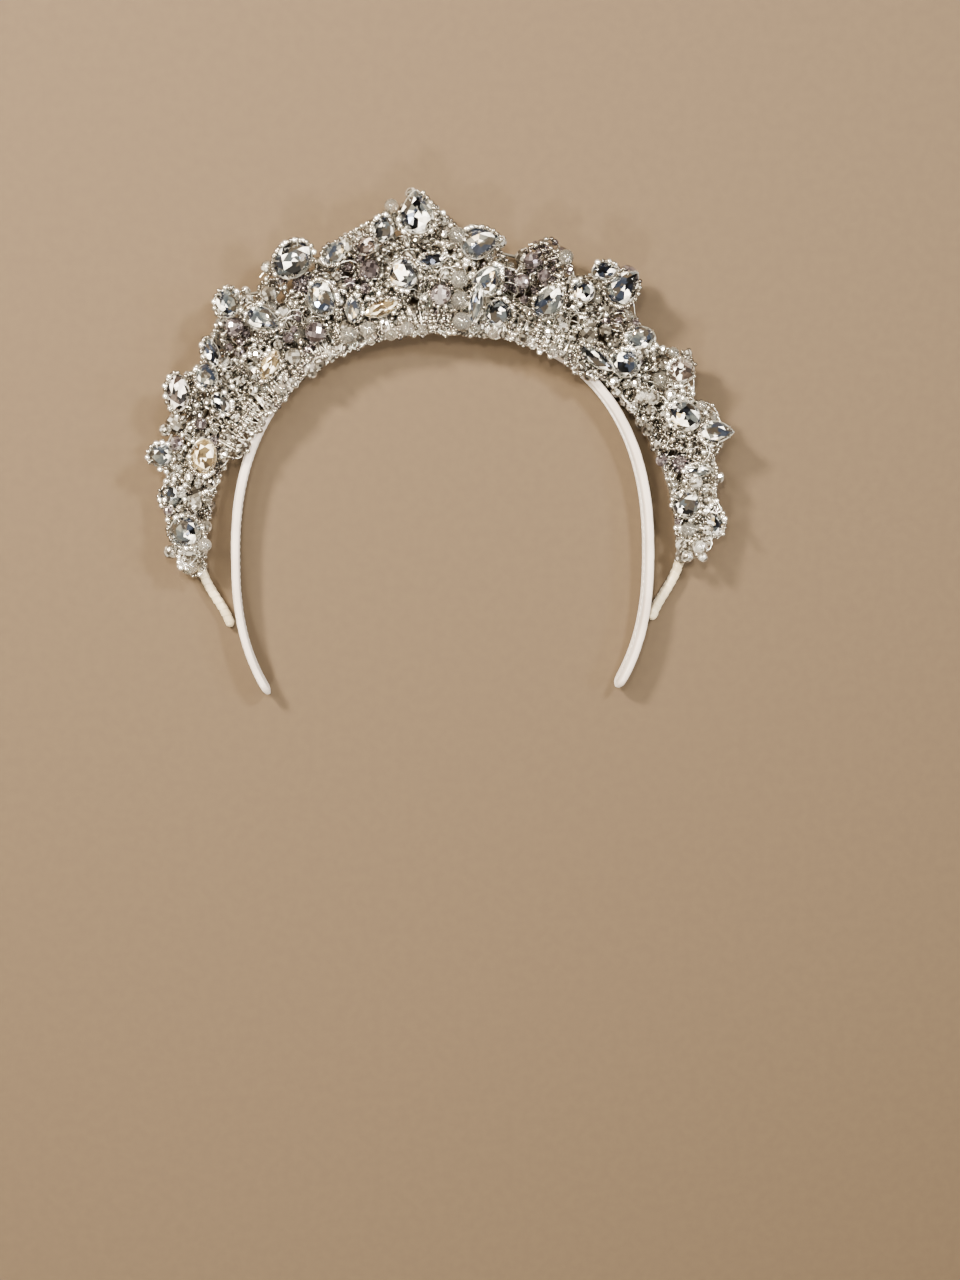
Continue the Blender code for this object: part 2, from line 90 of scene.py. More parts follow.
def socket_of(sockets: Any, key: str | int) -> NodeSocket:
    """Find a socket in use by its name or its place.

    Args:
        sockets: A node's inputs or outputs.
        key: The socket's name, or its place among all sockets.

    Returns:
        The first socket that fits and that the node's settings leave in use.
    """
    if isinstance(key, int):
        return sockets[key]
    return next(socket for socket in sockets if socket.name == key and socket.enabled)


def add_node(tree: NodeTree, kind: str, settings: dict | None = None, links: dict | None = None) -> Node:
    """Add a node with its settings and its links.

    Args:
        tree: The shader or geometry tree that gets the node.
        kind: The node's type name.
        settings: Properties of the node and values of its inputs, by name. "stops" gives a colour
            ramp pairs of a place from 0 to 1 and a hex colour.
        links: Sources by input name or place, each a socket or a pair of a node and an output's name.

    Returns:
        The new node.
    """
    node = tree.nodes.new(kind)
    set_node(tree, node, settings or {}, links or {})
    return node


def set_node(tree: NodeTree, node: Node, settings: dict, links: dict) -> None:
    """Give a node its settings and its links.

    Args:
        tree: The tree that has the node.
        node: The node.
        settings: Properties and values of inputs, as add_node takes them.
        links: Sources by input, as add_node takes them.
    """
    for key, value in settings.items():
        if key == "stops":
            elements = node.color_ramp.elements
            while len(elements) < len(value):
                elements.new(0.5)
            for element, (place, colour) in zip(elements, value):
                element.position = place
                element.color = linear(colour)
        elif isinstance(key, str) and hasattr(node, key):
            setattr(node, key, value)
        else:
            socket_of(node.inputs, key).default_value = value
    for key, source in links.items():
        if isinstance(source, tuple):
            source = socket_of(source[0].outputs, source[1])
        tree.links.new(source, socket_of(node.inputs, key))


def smooth_step(value: float, low: float, high: float) -> float:
    """Rise smoothly from 0 at low to 1 at high."""
    t = min(1.0, max(0.0, (value - low) / (high - low)))
    return t * t * (3.0 - 2.0 * t)


def mix(low: float, high: float, share: float) -> float:
    """Return the value at a share of the way from low to high."""
    return low + (high - low) * share


def rounded(distance: float, reach: float, least: float) -> float:
    """Return how wide a round end is at a distance from its tip, as a share of its full width.

    Args:
        distance: The distance from the tip.
        reach: How far from the tip the end is full width.
        least: The share at the tip itself.

    Returns:
        The share, on a quarter circle.
    """
    away = 1.0 - min(1.0, distance / reach)
    return max(least, math.sqrt(1.0 - away * away))


@dataclass(frozen=True)
class Finish:
    """A surface finish that becomes one node material."""

    name: str

    def material(self) -> Material:
        """Return the finish's material, made the first time that it is asked for."""
        if self.name in bpy.data.materials:
            return bpy.data.materials[self.name]
        material = bpy.data.materials.new(self.name)
        material.use_nodes = True
        tree = material.node_tree
        self.paint(tree, tree.nodes["Principled BSDF"])
        return material

    def paint(self, tree: NodeTree, shader: Node) -> None:
        """Add the finish's nodes.

        Args:
            tree: The material's node tree.
            shader: Its Principled BSDF node.
        """
        raise NotImplementedError


@dataclass(frozen=True)
class CutGlass(Finish):
    """Foil-backed cut glass: one tone per facet, painted reflections and glints on the stones, random on the
    beads.
    """

    stops: tuple[tuple[float, str], ...] = ()
    metallic: float = 0.85
    roughness: float = 0.09
    coat: float = 1.0
    # Facet tones from here up are white painted glints, which are made less metallic.
    painted_glint_from: float = 0.79
    painted_glint_to: float = 0.88
    painted_glint_metallic: float = 0.10
    shard: float = 1.8 * MM
    shard_depth: float = 0.0
    shard_tilt: float = 0.0

    def paint(self, tree: NodeTree, shader: Node) -> None:
        """Colour each facet from its own tone, under a flat clear coat."""
        # On the stones each facet's tone is a painted reflection, and the whitest tones are painted glints.
        tone = add_node(tree, "ShaderNodeAttribute", {"attribute_name": "facet"})
        source = self.break_painted_reflections(tree, shader, tone) if self.shard_depth else (tone, "Fac")
        ramp = add_node(tree, "ShaderNodeValToRGB", {"stops": self.stops}, {"Fac": source})
        set_node(tree, shader, {
            "Metallic": self.metallic, "Roughness": self.roughness,
            "Coat Weight": self.coat, "Coat Roughness": COAT_ROUGHNESS,
        }, {"Base Color": (ramp, "Color")})

    def break_painted_reflections(self, tree: NodeTree, shader: Node, tone: Node) -> tuple[Node, str]:
        """Break the painted reflections into darker shards with tilted normals, less metallic where painted
        white as glints.

        Args:
            tree: The material's node tree.
            shader: Its Principled BSDF node.
            tone: The node that reads the facets' tones.

        Returns:
            The node and output with the broken tone.
        """
        place = add_node(tree, "ShaderNodeTexCoord")
        cells = add_node(tree, "ShaderNodeTexVoronoi", {"Scale": 1.0 / self.shard},
                         {"Vector": (place, "Object")})
        parts = add_node(tree, "ShaderNodeSeparateColor", links={"Color": (cells, "Color")})
        share = add_node(tree, "ShaderNodeMapRange", {"To Min": 1.0 - self.shard_depth, "To Max": 1.0},
                         {"Value": (parts, "Red")})
        broken = add_node(tree, "ShaderNodeMath", {"operation": "MULTIPLY"},
                          {0: (tone, "Fac"), 1: (share, "Result")})
        face = add_node(tree, "ShaderNodeNewGeometry")
        centred = add_node(tree, "ShaderNodeVectorMath", {"operation": "SUBTRACT", 1: (0.5, 0.5, 0.5)},
                           {0: (cells, "Color")})
        tilt = add_node(tree, "ShaderNodeVectorMath",
                        {"operation": "MULTIPLY_ADD", 1: (self.shard_tilt,) * 3},
                        {0: (centred, "Vector"), 2: (face, "Normal")})
        shard_normal = add_node(tree, "ShaderNodeVectorMath", {"operation": "NORMALIZE"}, {0: (tilt, "Vector")})
        # Facets painted white stand for glints: being less metallic, they show brighter under the lamps.
        mirror = add_node(tree, "ShaderNodeMapRange", {
            "From Min": self.painted_glint_from, "From Max": self.painted_glint_to,
            "To Min": self.metallic, "To Max": self.painted_glint_metallic,
        }, {"Value": (tone, "Fac")})
        set_node(tree, shader, {}, {"Normal": (shard_normal, "Vector"), "Metallic": (mirror, "Result")})
        return broken, "Value"


@dataclass(frozen=True)
class ClearGlass(Finish):
    """Clear round glass bead, fire polished: it lets light through and shows a bright edge."""

    stops: tuple[tuple[float, str], ...] = ()
    transmission: float = 0.94
    roughness: float = 0.04
    index: float = 1.50

    def paint(self, tree: NodeTree, shader: Node) -> None:
        """Tint each bead a little and let most of the light through."""
        tone = add_node(tree, "ShaderNodeAttribute", {"attribute_name": "facet"})
        ramp = add_node(tree, "ShaderNodeValToRGB", {"stops": self.stops}, {"Fac": (tone, "Fac")})
        set_node(tree, shader, {
            "Transmission Weight": self.transmission, "Roughness": self.roughness, "IOR": self.index,
            "Coat Weight": 1.0, "Coat Roughness": COAT_ROUGHNESS,
        }, {"Base Color": (ramp, "Color")})


@dataclass(frozen=True)
class SilverPlate(Finish):
    """Silver-plated brass, drawn or stamped: bright, with faint dull patches where fingers touch it."""

    bright: str = "#dedbd3"
    dull: str = "#a89f90"
    roughness: float = 0.20
    patch: float = 4.0 * MM

    def paint(self, tree: NodeTree, shader: Node) -> None:
        """Mix bright and dull silver by a soft noise on the piece itself."""
        place = add_node(tree, "ShaderNodeTexCoord")
        noise = add_node(tree, "ShaderNodeTexNoise", {"Scale": 1.0 / self.patch, "Detail": 3.0},
                         {"Vector": (place, "Object")})
        ramp = add_node(tree, "ShaderNodeValToRGB", {"stops": ((0.42, self.bright), (0.72, self.dull))},
                        {"Fac": (noise, "Fac")})
        dullness = add_node(tree, "ShaderNodeMapRange",
                            {"To Min": self.roughness, "To Max": self.roughness + 0.25},
                            {"Value": (noise, "Fac")})
        set_node(tree, shader, {"Metallic": 1.0},
                 {"Base Color": (ramp, "Color"), "Roughness": (dullness, "Result")})


@dataclass(frozen=True)
class SatinWeave(Finish):
    """Polyester satin, woven with long floats: smooth, with a soft sheen and with painted sheen streaks along
    its threads.

    The threads are drawn 0.5 mm apart, coarser than the real 0.1 mm, so that they show.
    """

    light: str = "#b6aba2"
    shade: str = "#998d83"
    thread: float = 0.5 * MM
    roughness: float = 0.40
    bump: float = 0.10

    def paint(self, tree: NodeTree, shader: Node) -> None:
        """Draw floats along the cloth's own map as painted sheen streaks and a thread relief, with soft
        random tone changes.
        """
        cloth = add_node(tree, "ShaderNodeUVMap", {"uv_map": "cloth"})
        floats = add_node(tree, "ShaderNodeMapping", {"Scale": (0.06, 1.0, 1.0)}, {"Vector": (cloth, "UV")})
        streaks = add_node(tree, "ShaderNodeTexNoise", {"Scale": 1.0 / self.thread, "Detail": 2.0},
                           {"Vector": (floats, "Vector")})
        soft = add_node(tree, "ShaderNodeTexNoise", {"Scale": 60.0, "Detail": 2.0}, {"Vector": (cloth, "UV")})
        # The streaks lighten and darken the colour along the threads as a painted sheen.
        blend = add_node(tree, "ShaderNodeMath", {"operation": "MULTIPLY_ADD", 1: 0.12, 2: 0.44},
                         {0: (streaks, "Fac")})
        total = add_node(tree, "ShaderNodeMath", {"operation": "MULTIPLY_ADD", 1: 0.5},
                         {0: (soft, "Fac"), 2: (blend, "Value")})
        ramp = add_node(tree, "ShaderNodeValToRGB", {"stops": ((0.62, self.shade), (0.84, self.light))},
                        {"Fac": (total, "Value")})
        relief = add_node(tree, "ShaderNodeBump", {"Strength": self.bump, "Distance": 0.1 * MM},
                          {"Height": (streaks, "Fac")})
        set_node(tree, shader, {
            "Roughness": self.roughness, "Sheen Weight": 0.35, "Sheen Roughness": 0.35,
            "Specular IOR Level": 0.6,
        }, {"Base Color": (ramp, "Color"), "Normal": (relief, "Normal")})


@dataclass(frozen=True)
class PaperSweep(Finish):
    """Matt studio paper, rolled: one even tone with a faint tooth."""

    light: str = "#3d2f1b"
    shade: str = "#3a2c19"

    def paint(self, tree: NodeTree, shader: Node) -> None:
        """Vary the tone very little, at the scale of paper fibres."""
        place = add_node(tree, "ShaderNodeTexCoord")
        noise = add_node(tree, "ShaderNodeTexNoise", {"Scale": 300.0, "Detail": 4.0},
                         {"Vector": (place, "Object")})
        ramp = add_node(tree, "ShaderNodeValToRGB", {"stops": ((0.35, self.shade), (0.65, self.light))},
                        {"Fac": (noise, "Fac")})
        set_node(tree, shader, {"Roughness": 0.85}, {"Base Color": (ramp, "Color")})


# The three stone ramps hold painted reflections, dark through grey to white painted glints; the clear one
# adds navy, slate and tan.
CLEAR_CUT = CutGlass("clear_cut_glass", stops=(
    (0.000, "#040508"), (0.111, "#0e121d"), (0.222, "#2b3240"), (0.333, "#463f34"), (0.444, "#495157"),
    (0.556, "#626663"), (0.667, "#86857d"), (0.778, "#aeaba0"), (0.840, "#fdfbf6"), (0.890, "#fdfbf6"),
    (0.960, "#bda677"),
), metallic=0.70, shard_depth=0.12, shard_tilt=0.60)
CREAM_CUT = CutGlass("cream_cut_glass", stops=(
    (0.000, "#1d1710"), (0.222, "#544530"), (0.444, "#85724f"), (0.667, "#b5a27a"), (1.000, "#faf4e4"),
), metallic=0.70, shard_depth=0.15, shard_tilt=0.60)
SMOKE_CUT = CutGlass("smoke_cut_glass", stops=(
    (0.000, "#07070a"), (0.222, "#2b2524"), (0.444, "#52463f"), (0.667, "#80756e"), (1.000, "#ece8e2"),
), metallic=0.70, shard_depth=0.15, shard_tilt=0.60)
CRYSTAL_BEAD = CutGlass("faceted_crystal_bead", stops=(
    (0.00, "#2c2721"), (0.18, "#48423a"), (0.38, "#635d54"), (0.58, "#847e73"), (0.78, "#b0aba0"),
    (0.92, "#fbf9f2"),
), metallic=0.85, roughness=0.10)
SMOKY_BEAD = CutGlass("smoky_lilac_bead", stops=(
    (0.00, "#352e2f"), (0.30, "#51484a"), (0.55, "#6c6265"), (0.80, "#8c8285"), (1.00, "#d0cacb"),
), metallic=0.85, roughness=0.12)
CLEAR_BEAD = ClearGlass("clear_glass_bead", stops=((0.0, "#a9a397"), (0.5, "#c6c2b7"), (1.0, "#e8e6df")))
SEED_BEAD = CutGlass("silver_lined_seed_bead", stops=(
    (0.00, "#38322d"), (0.20, "#554e47"), (0.45, "#6e685e"), (0.68, "#918b80"), (0.84, "#c3bdb0"),
    (0.94, "#fbf9f2"),
), metallic=0.90, roughness=0.20, coat=0.5)
SILVER = SilverPlate("silver_plated_wire")
SATIN = SatinWeave("white_satin")
RIBBON = SatinWeave("cream_satin_ribbon", light="#b5a98d", shade="#877a5e")
THREAD = SatinWeave("white_thread", light="#d5ccc4", shade="#b3a89e", bump=0.0)
PAPER = PaperSweep("studio_paper")


def make_object(name: str, mesh: Mesh, finishes: Sequence[Finish]) -> Object:
    """Put a mesh in the scene as an object at the origin.

    Args:
        name: The object's name.
        mesh: Its mesh, in the tiara's own frame.
        finishes: Finishes for its material slots. With none the mesh keeps the materials it has.

    Returns:
        The new object.
    """
    mesh.name = name
    if finishes:
        mesh.materials.clear()
        for finish in finishes:
            mesh.materials.append(finish.material())
    obj = bpy.data.objects.new(name, mesh)
    bpy.context.scene.collection.objects.link(obj)
    return obj


def place_piece(obj: Object, nodes: Sequence[str] = ()) -> None:
    """Fix a finished piece to the tiara.

    Args:
        obj: The piece.
        nodes: The solids that it stands for.
    """
    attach(obj, "root")
    if nodes:
        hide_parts(*nodes)
    LOG.info("%s: %d faces, stands for %s", obj.name, len(obj.data.polygons), ", ".join(nodes) or "nothing")


class SkinBuilder:
    """Collects points and faces, with a tone and a finish for each face, into one mesh."""

    def __init__(self) -> None:
        """Start with nothing."""
        self.points: list[Vector] = []
        self.faces: list[tuple[int, ...]] = []
        self.tones: list[float] = []
        self.uvs: list[Corners] = []

    def add(self, points: Sequence[Vector], faces: Sequence[tuple[int, ...]],
            tones: Sequence[float] | float, uvs: Sequence[Corners] = ()) -> None:
        """Add one shape.

        Args:
            points: Its points.
            faces: Its faces, as places in points.
            tones: One tone for each face, or one for all.
            uvs: One map corner for each corner of each face, or nothing.
        """
        start = len(self.points)
        self.points += points
        self.faces += [tuple(start + i for i in face) for face in faces]
        self.tones += [tones] * len(faces) if isinstance(tones, float) else list(tones)
        self.uvs += uvs

    def mesh(self, name: str, smooth_angle: float) -> Mesh:
        """Make the mesh.

        Args:
            name: Its name.
            smooth_angle: The largest angle, in degrees, that is shaded as smooth.

        Returns:
            The mesh, with a "facet" tone on its faces and a "cloth" map where the shapes gave one.
        """
        mesh = bpy.data.meshes.new(name)
        mesh.from_pydata([tuple(p) for p in self.points], [], self.faces)
        mesh.shade_smooth()
        mesh.set_sharp_from_angle(angle=math.radians(smooth_angle))
        facet = mesh.attributes.new("facet", "FLOAT", "FACE")
        facet.data.foreach_set("value", self.tones)
        if self.uvs:
            layer = mesh.uv_layers.new(name="cloth")
            flat = [value for corners in self.uvs for corner in corners for value in corner]
            layer.data.foreach_set("uv", flat)
        return mesh


def loft(rings: Sequence[Sequence[Vector]], close: bool = True) -> tuple[list[Vector], list[tuple[int, ...]]]:
    """Join rings of equal length into one skin.

    Args:
        rings: The rings, each wound anticlockwise seen against the way the rings go.
        close: Whether the first and last rings get end faces.

    Returns:
        Points and faces.
    """
    sides = len(rings[0])
    points = [point for ring in rings for point in ring]
    faces: list[tuple[int, ...]] = []
    for k in range(len(rings) - 1):
        for i in range(sides):
            j = (i + 1) % sides
            faces.append((k * sides + i, k * sides + j, (k + 1) * sides + j, (k + 1) * sides + i))
    if close:
        last = (len(rings) - 1) * sides
        faces.append(tuple(reversed(range(sides))))
        faces.append(tuple(range(last, last + sides)))
    return points, faces


def lengths_along(line: Sequence[Vector]) -> list[float]:
    """Return how far along a line each of its points is."""
    lengths = [0.0]
    for before, after in zip(line, line[1:]):
        lengths.append(lengths[-1] + (after - before).length)
    return lengths


def headings(line: Sequence[Vector]) -> list[Vector]:
    """Return the way that a line runs at each of its points."""
    last = len(line) - 1
    return [(line[min(last, k + 1)] - line[max(0, k - 1)]).normalized() for k in range(last + 1)]


def outward_of(heading: Vector) -> Vector:
    """Return the way out of the arch, square to a level heading that goes round it clockwise."""
    return Vector((-heading.y, heading.x, 0.0))


def boxed(value: float, power: float) -> float:
    """Raise the size of a cosine or sine to a power, for a section between an ellipse and a box."""
    return math.copysign(abs(value) ** power, value)


def cloth_skin(rings: Sequence[Sequence[Vector]], along: Sequence[float], around: Sequence[float],
               wound: bool = False) -> SkinBuilder:
    """Join rings into one skin with a map of the cloth on it.

    Args:
        rings: The rings.
        along: How far along the piece each ring is.
        around: How far round the section each point of a ring is, and then the first one again.
        wound: Whether the cloth's threads go round the piece, not along it.

    Returns:
        The skin.
    """
    uvs: list[Corners] = []
    for low, high in zip(along, along[1:]):
        for left, right in zip(around, around[1:]):
            corners = ((low, left), (low, right), (high, right), (high, left))
            uvs.append(tuple((v, u) for u, v in corners) if wound else corners)
    uvs += [((0.0, 0.0),) * len(rings[0])] * 2
    skin = SkinBuilder()
    points, faces = loft(rings)
    skin.add(points, faces, 0.5, uvs)
    return skin


def side_of(bearing: float) -> str:
    """Return the half of the crest that a bearing is on."""
    return "left" if bearing < 0.0 else "right"


@dataclass(frozen=True)
class CrestLines:
    """The lines that the crest and the headband follow, as the solids have them."""

    middle: Vector
    band_half_width: float = 75.5 * MM
    band_rise: float = 84.0 * MM
    squareness: float = 2.35
    leg_reach: float = 48.0 * MM
    leg_curl: float = 0.62
    clearance: float = 0.3 * MM
    crest_rise: float = 45.7 * MM
    side_gap: float = 8.5 * MM
    lean: float = 7.0
    end_bearing: float = 89.0
    gap_bearing: float = 32.0
    landing_bearing: float = 107.0
    frame_bar: float = 1.0 * MM
    frame_level: float = 2.6 * MM
    outline: tuple[Pair, ...] = (
        (-89.0, 0.20), (-81.6, 0.29), (-78.0, 0.35), (-71.0, 0.39), (-69.0, 0.53), (-60.7, 0.53),
        (-56.0, 0.64), (-52.0, 0.55), (-45.0, 0.61), (-37.8, 0.83), (-34.5, 0.64), (-25.4, 0.79),
        (-22.3, 0.60), (-19.5, 0.70), (-10.0, 0.82), (-4.6, 1.00), (0.0, 0.79), (3.0, 0.69),
        (8.0, 0.67), (11.7, 0.48), (17.6, 0.73), (21.0, 0.70), (24.8, 0.50), (32.6, 0.80),
        (37.0, 0.53), (45.0, 0.46), (49.4, 0.64), (57.0, 0.44), (60.0, 0.55), (65.5, 0.58),
        (69.0, 0.40), (77.0, 0.31), (82.7, 0.38), (89.0, 0.20),
    )

    def at(self, radius: float, bearing: float, z: float = 0.0) -> Vector:
        """Return the point at a radius and bearing round the headband's middle."""
        angle = math.radians(bearing)
        return self.middle + Vector((radius * math.sin(angle), radius * math.cos(angle), z))

    def band_radius(self, bearing: float) -> float:
        """Return the radius of the headband's outer face."""
        angle = math.radians(bearing)
        depth = self.band_rise if math.cos(angle) >= 0.0 else self.leg_reach / self.leg_curl
        across = abs(math.sin(angle)) / self.band_half_width
        along = abs(math.cos(angle)) / depth
        return (across ** self.squareness + along ** self.squareness) ** (-1.0 / self.squareness)

    def tip_bearing(self) -> float:
        """Return the bearing of the legs' tips."""
        half = self.band_half_width * (1.0 - self.leg_curl ** self.squareness) ** (1.0 / self.squareness)
        return 90.0 + math.degrees(math.atan2(self.leg_reach, half))

    def stand_off(self, bearing: float) -> float:
        """Return how far the crest's line stands off the headband."""
        opening = smooth_step(abs(bearing), self.gap_bearing, self.end_bearing)
        closing = smooth_step(abs(bearing), self.end_bearing, self.landing_bearing)
        return self.side_gap * (opening - closing)

    def rail_radius(self, bearing: float) -> float:
        """Return the radius of the middle of the crest's rail."""
        return self.band_radius(bearing) + self.clearance + self.frame_bar + self.stand_off(bearing)

    def height(self, bearing: float) -> float:
        """Return how far the crest's outer line rises above its rail."""
        rows = self.outline
        if bearing <= rows[0][0]:
            return self.crest_rise * rows[0][1]
        for (low, low_rise), (high, high_rise) in zip(rows, rows[1:]):
            if bearing <= high:
                return self.crest_rise * mix(low_rise, high_rise, (bearing - low) / (high - low))
        return self.crest_rise * rows[-1][1]

    def point(self, bearing: float, height: float, lift: float = 0.0) -> Vector:
        """Return a point of the crest.

        Args:
            bearing: Its bearing in degrees.
            height: Its height above the rail.
            lift: How far it is in front of the frame's middle plane.

        Returns:
            The point.
        """
        slope = math.tan(math.radians(self.lean))
        return self.at(self.rail_radius(bearing) + height, bearing, self.frame_level + height * slope + lift)


class StoneKind(Enum):
    """Outline of a cut stone."""

    PEAR = "pear"
    OVAL = "oval"
    ROUND = "round"
    NAVETTE = "navette"


class StoneTone(Enum):
    """Glass of a cut stone, with its finish and the record's slot."""

    CLEAR = (CLEAR_CUT, "clear_crystal")
    CREAM = (CREAM_CUT, "cream_stone")
    SMOKE = (SMOKE_CUT, "smoke_crystal")


class FacetPattern(Enum):
    """Painted reflections on a stone's table and rim facets, as tones in ninths, going left round from the
    end that points out.
    """

    NIGHT_STREAK = ("06208840", "43148362")
    SHARDS = ("98805410", "19382804")
    SLATE = ("33344800", "52830140")
    DUSK = ("02232810", "03452801")
    WINDOW = ("22336972", "43258234")
    FROST = ("54480236", "35186423")
    CANDLE = ("94423813", "58427634")
    NIGHT = ("00102010", "10012011")


@dataclass(frozen=True)
class StoneSpot:
    """Where one stone is set: shares of the crest's rise and of the stone size, and angles in degrees."""

    kind: StoneKind
    bearing: float
    rise: float
    length: float
    width: float
    spin: float
    lean: float
    roll: float
    tone: StoneTone
    pattern: FacetPattern
    start: int


PEAR, OVAL, ROUND, NAVETTE = StoneKind
CLEAR, CREAM, SMOKE = StoneTone
NIGHT_STREAK, SHARDS, SLATE, DUSK, WINDOW, FROST, CANDLE, NIGHT = FacetPattern
STONE_SPOTS = tuple(StoneSpot(*row) for row in (
    (PEAR, -4.6, 0.81, 1.50, 1.15, 0, 3, -4, CLEAR, NIGHT_STREAK, 0),
    (OVAL, -26.6, 0.69, 1.45, 1.15, 78, 4, 5, CLEAR, SLATE, 2),
    (PEAR, 6.0, 0.58, 1.35, 1.05, 70, -5, 4, CLEAR, WINDOW, 3),
    (PEAR, 32.9, 0.63, 1.35, 1.05, 8, 5, -5, CLEAR, DUSK, 0),
    (OVAL, 58.7, 0.29, 1.20, 1.00, 60, -3, 5, CLEAR, SHARDS, 4),
    (ROUND, -8.2, 0.35, 1.00, 1.00, 0, -6, 4, CLEAR, SHARDS, 0),
    (PEAR, 8.8, 0.32, 1.20, 0.95, 25, 4, -6, CLEAR, CANDLE, 0),
    (OVAL, -24.7, 0.33, 1.20, 0.95, 10, -5, -5, CLEAR, WINDOW, 5),
    (OVAL, 21.5, 0.26, 1.25, 0.95, 12, 5, 6, CLEAR, FROST, 3),
    (OVAL, 42.4, 0.19, 1.02, 0.95, 70, 6, -4, CLEAR, DUSK, 2),
    (OVAL, -65.3, 0.16, 1.25, 0.88, 66, 5, -4, CREAM, CANDLE, 2),
    (OVAL, -82.4, 0.14, 1.10, 1.00, 10, -5, 6, CLEAR, FROST, 0),
    (ROUND, 77.0, 0.07, 0.95, 0.95, 0, 6, 5, CLEAR, SLATE, 1),
    (PEAR, -36.2, 0.43, 1.20, 0.82, 150, -4, -6, CLEAR, FROST, 6),
    (PEAR, 64.6, 0.47, 1.15, 0.80, 25, 6, 4, CLEAR, WINDOW, 0),
    (OVAL, -56.9, 0.55, 1.25, 0.80, 55, 5, 6, SMOKE, SHARDS, 2),
    (OVAL, 41.3, 0.40, 1.00, 0.82, 55, -6, -4, CLEAR, FROST, 5),
    (ROUND, 12.2, 0.08, 0.95, 0.95, 0, 5, -6, CLEAR, SLATE, 6),
    (ROUND, 51.0, 0.47, 0.88, 0.88, 0, 5, 5, SMOKE, CANDLE, 4),
    (OVAL, -39.4, 0.70, 1.00, 0.80, 40, 6, -5, CLEAR, FROST, 1),
    (OVAL, 83.0, 0.28, 0.92, 0.70, 75, 6, -6, CLEAR, SHARDS, 5),
    (OVAL, -10.6, 0.70, 0.85, 0.72, 30, -4, 6, CLEAR, SLATE, 4),
    (ROUND, 27.0, 0.43, 0.78, 0.78, 0, -5, -6, CLEAR, SHARDS, 6),
    (OVAL, -75.8, 0.30, 0.98, 0.76, 80, 6, 4, CLEAR, FROST, 4),
    (OVAL, -51.4, 0.43, 0.85, 0.72, 40, -6, 5, CLEAR, WINDOW, 2),
    (ROUND, -68.3, 0.46, 0.80, 0.80, 0, 5, -5, CLEAR, FROST, 7),
    (OVAL, -19.6, 0.62, 0.88, 0.64, 70, 5, 4, CLEAR, WINDOW, 6),
    (OVAL, 28.2, 0.64, 0.85, 0.62, 60, 6, 6, CLEAR, DUSK, 5),
    (OVAL, -13.9, 0.60, 0.74, 0.60, 80, -5, -4, SMOKE, FROST, 2),
    (NAVETTE, -14.0, 0.13, 1.25, 0.56, 84, 5, 4, CREAM, CANDLE, 1),
    (NAVETTE, 6.4, 0.13, 1.40, 0.46, 4, -4, 6, CLEAR, FROST, 4),
    (NAVETTE, 36.6, 0.07, 1.40, 0.52, 88, 6, -3, CLEAR, SLATE, 3),
    (NAVETTE, -41.3, 0.15, 1.15, 0.58, 70, 5, 5, CREAM, CANDLE, 3),
    (NAVETTE, -47.3, 0.52, 0.98, 0.50, 30, -5, -6, CLEAR, DUSK, 3),
    (NAVETTE, -2.3, 0.45, 1.00, 0.44, 86, 5, 4, CLEAR, NIGHT, 0),
    (NAVETTE, -19.9, 0.17, 0.95, 0.52, 20, -6, 5, CLEAR, WINDOW, 1),
    (OVAL, -53.8, 0.24, 0.78, 0.60, 20, 4, -6, CLEAR, SLATE, 5),
    (NAVETTE, 70.6, 0.22, 0.90, 0.46, 20, -4, 5, CLEAR, FROST, 2),
))


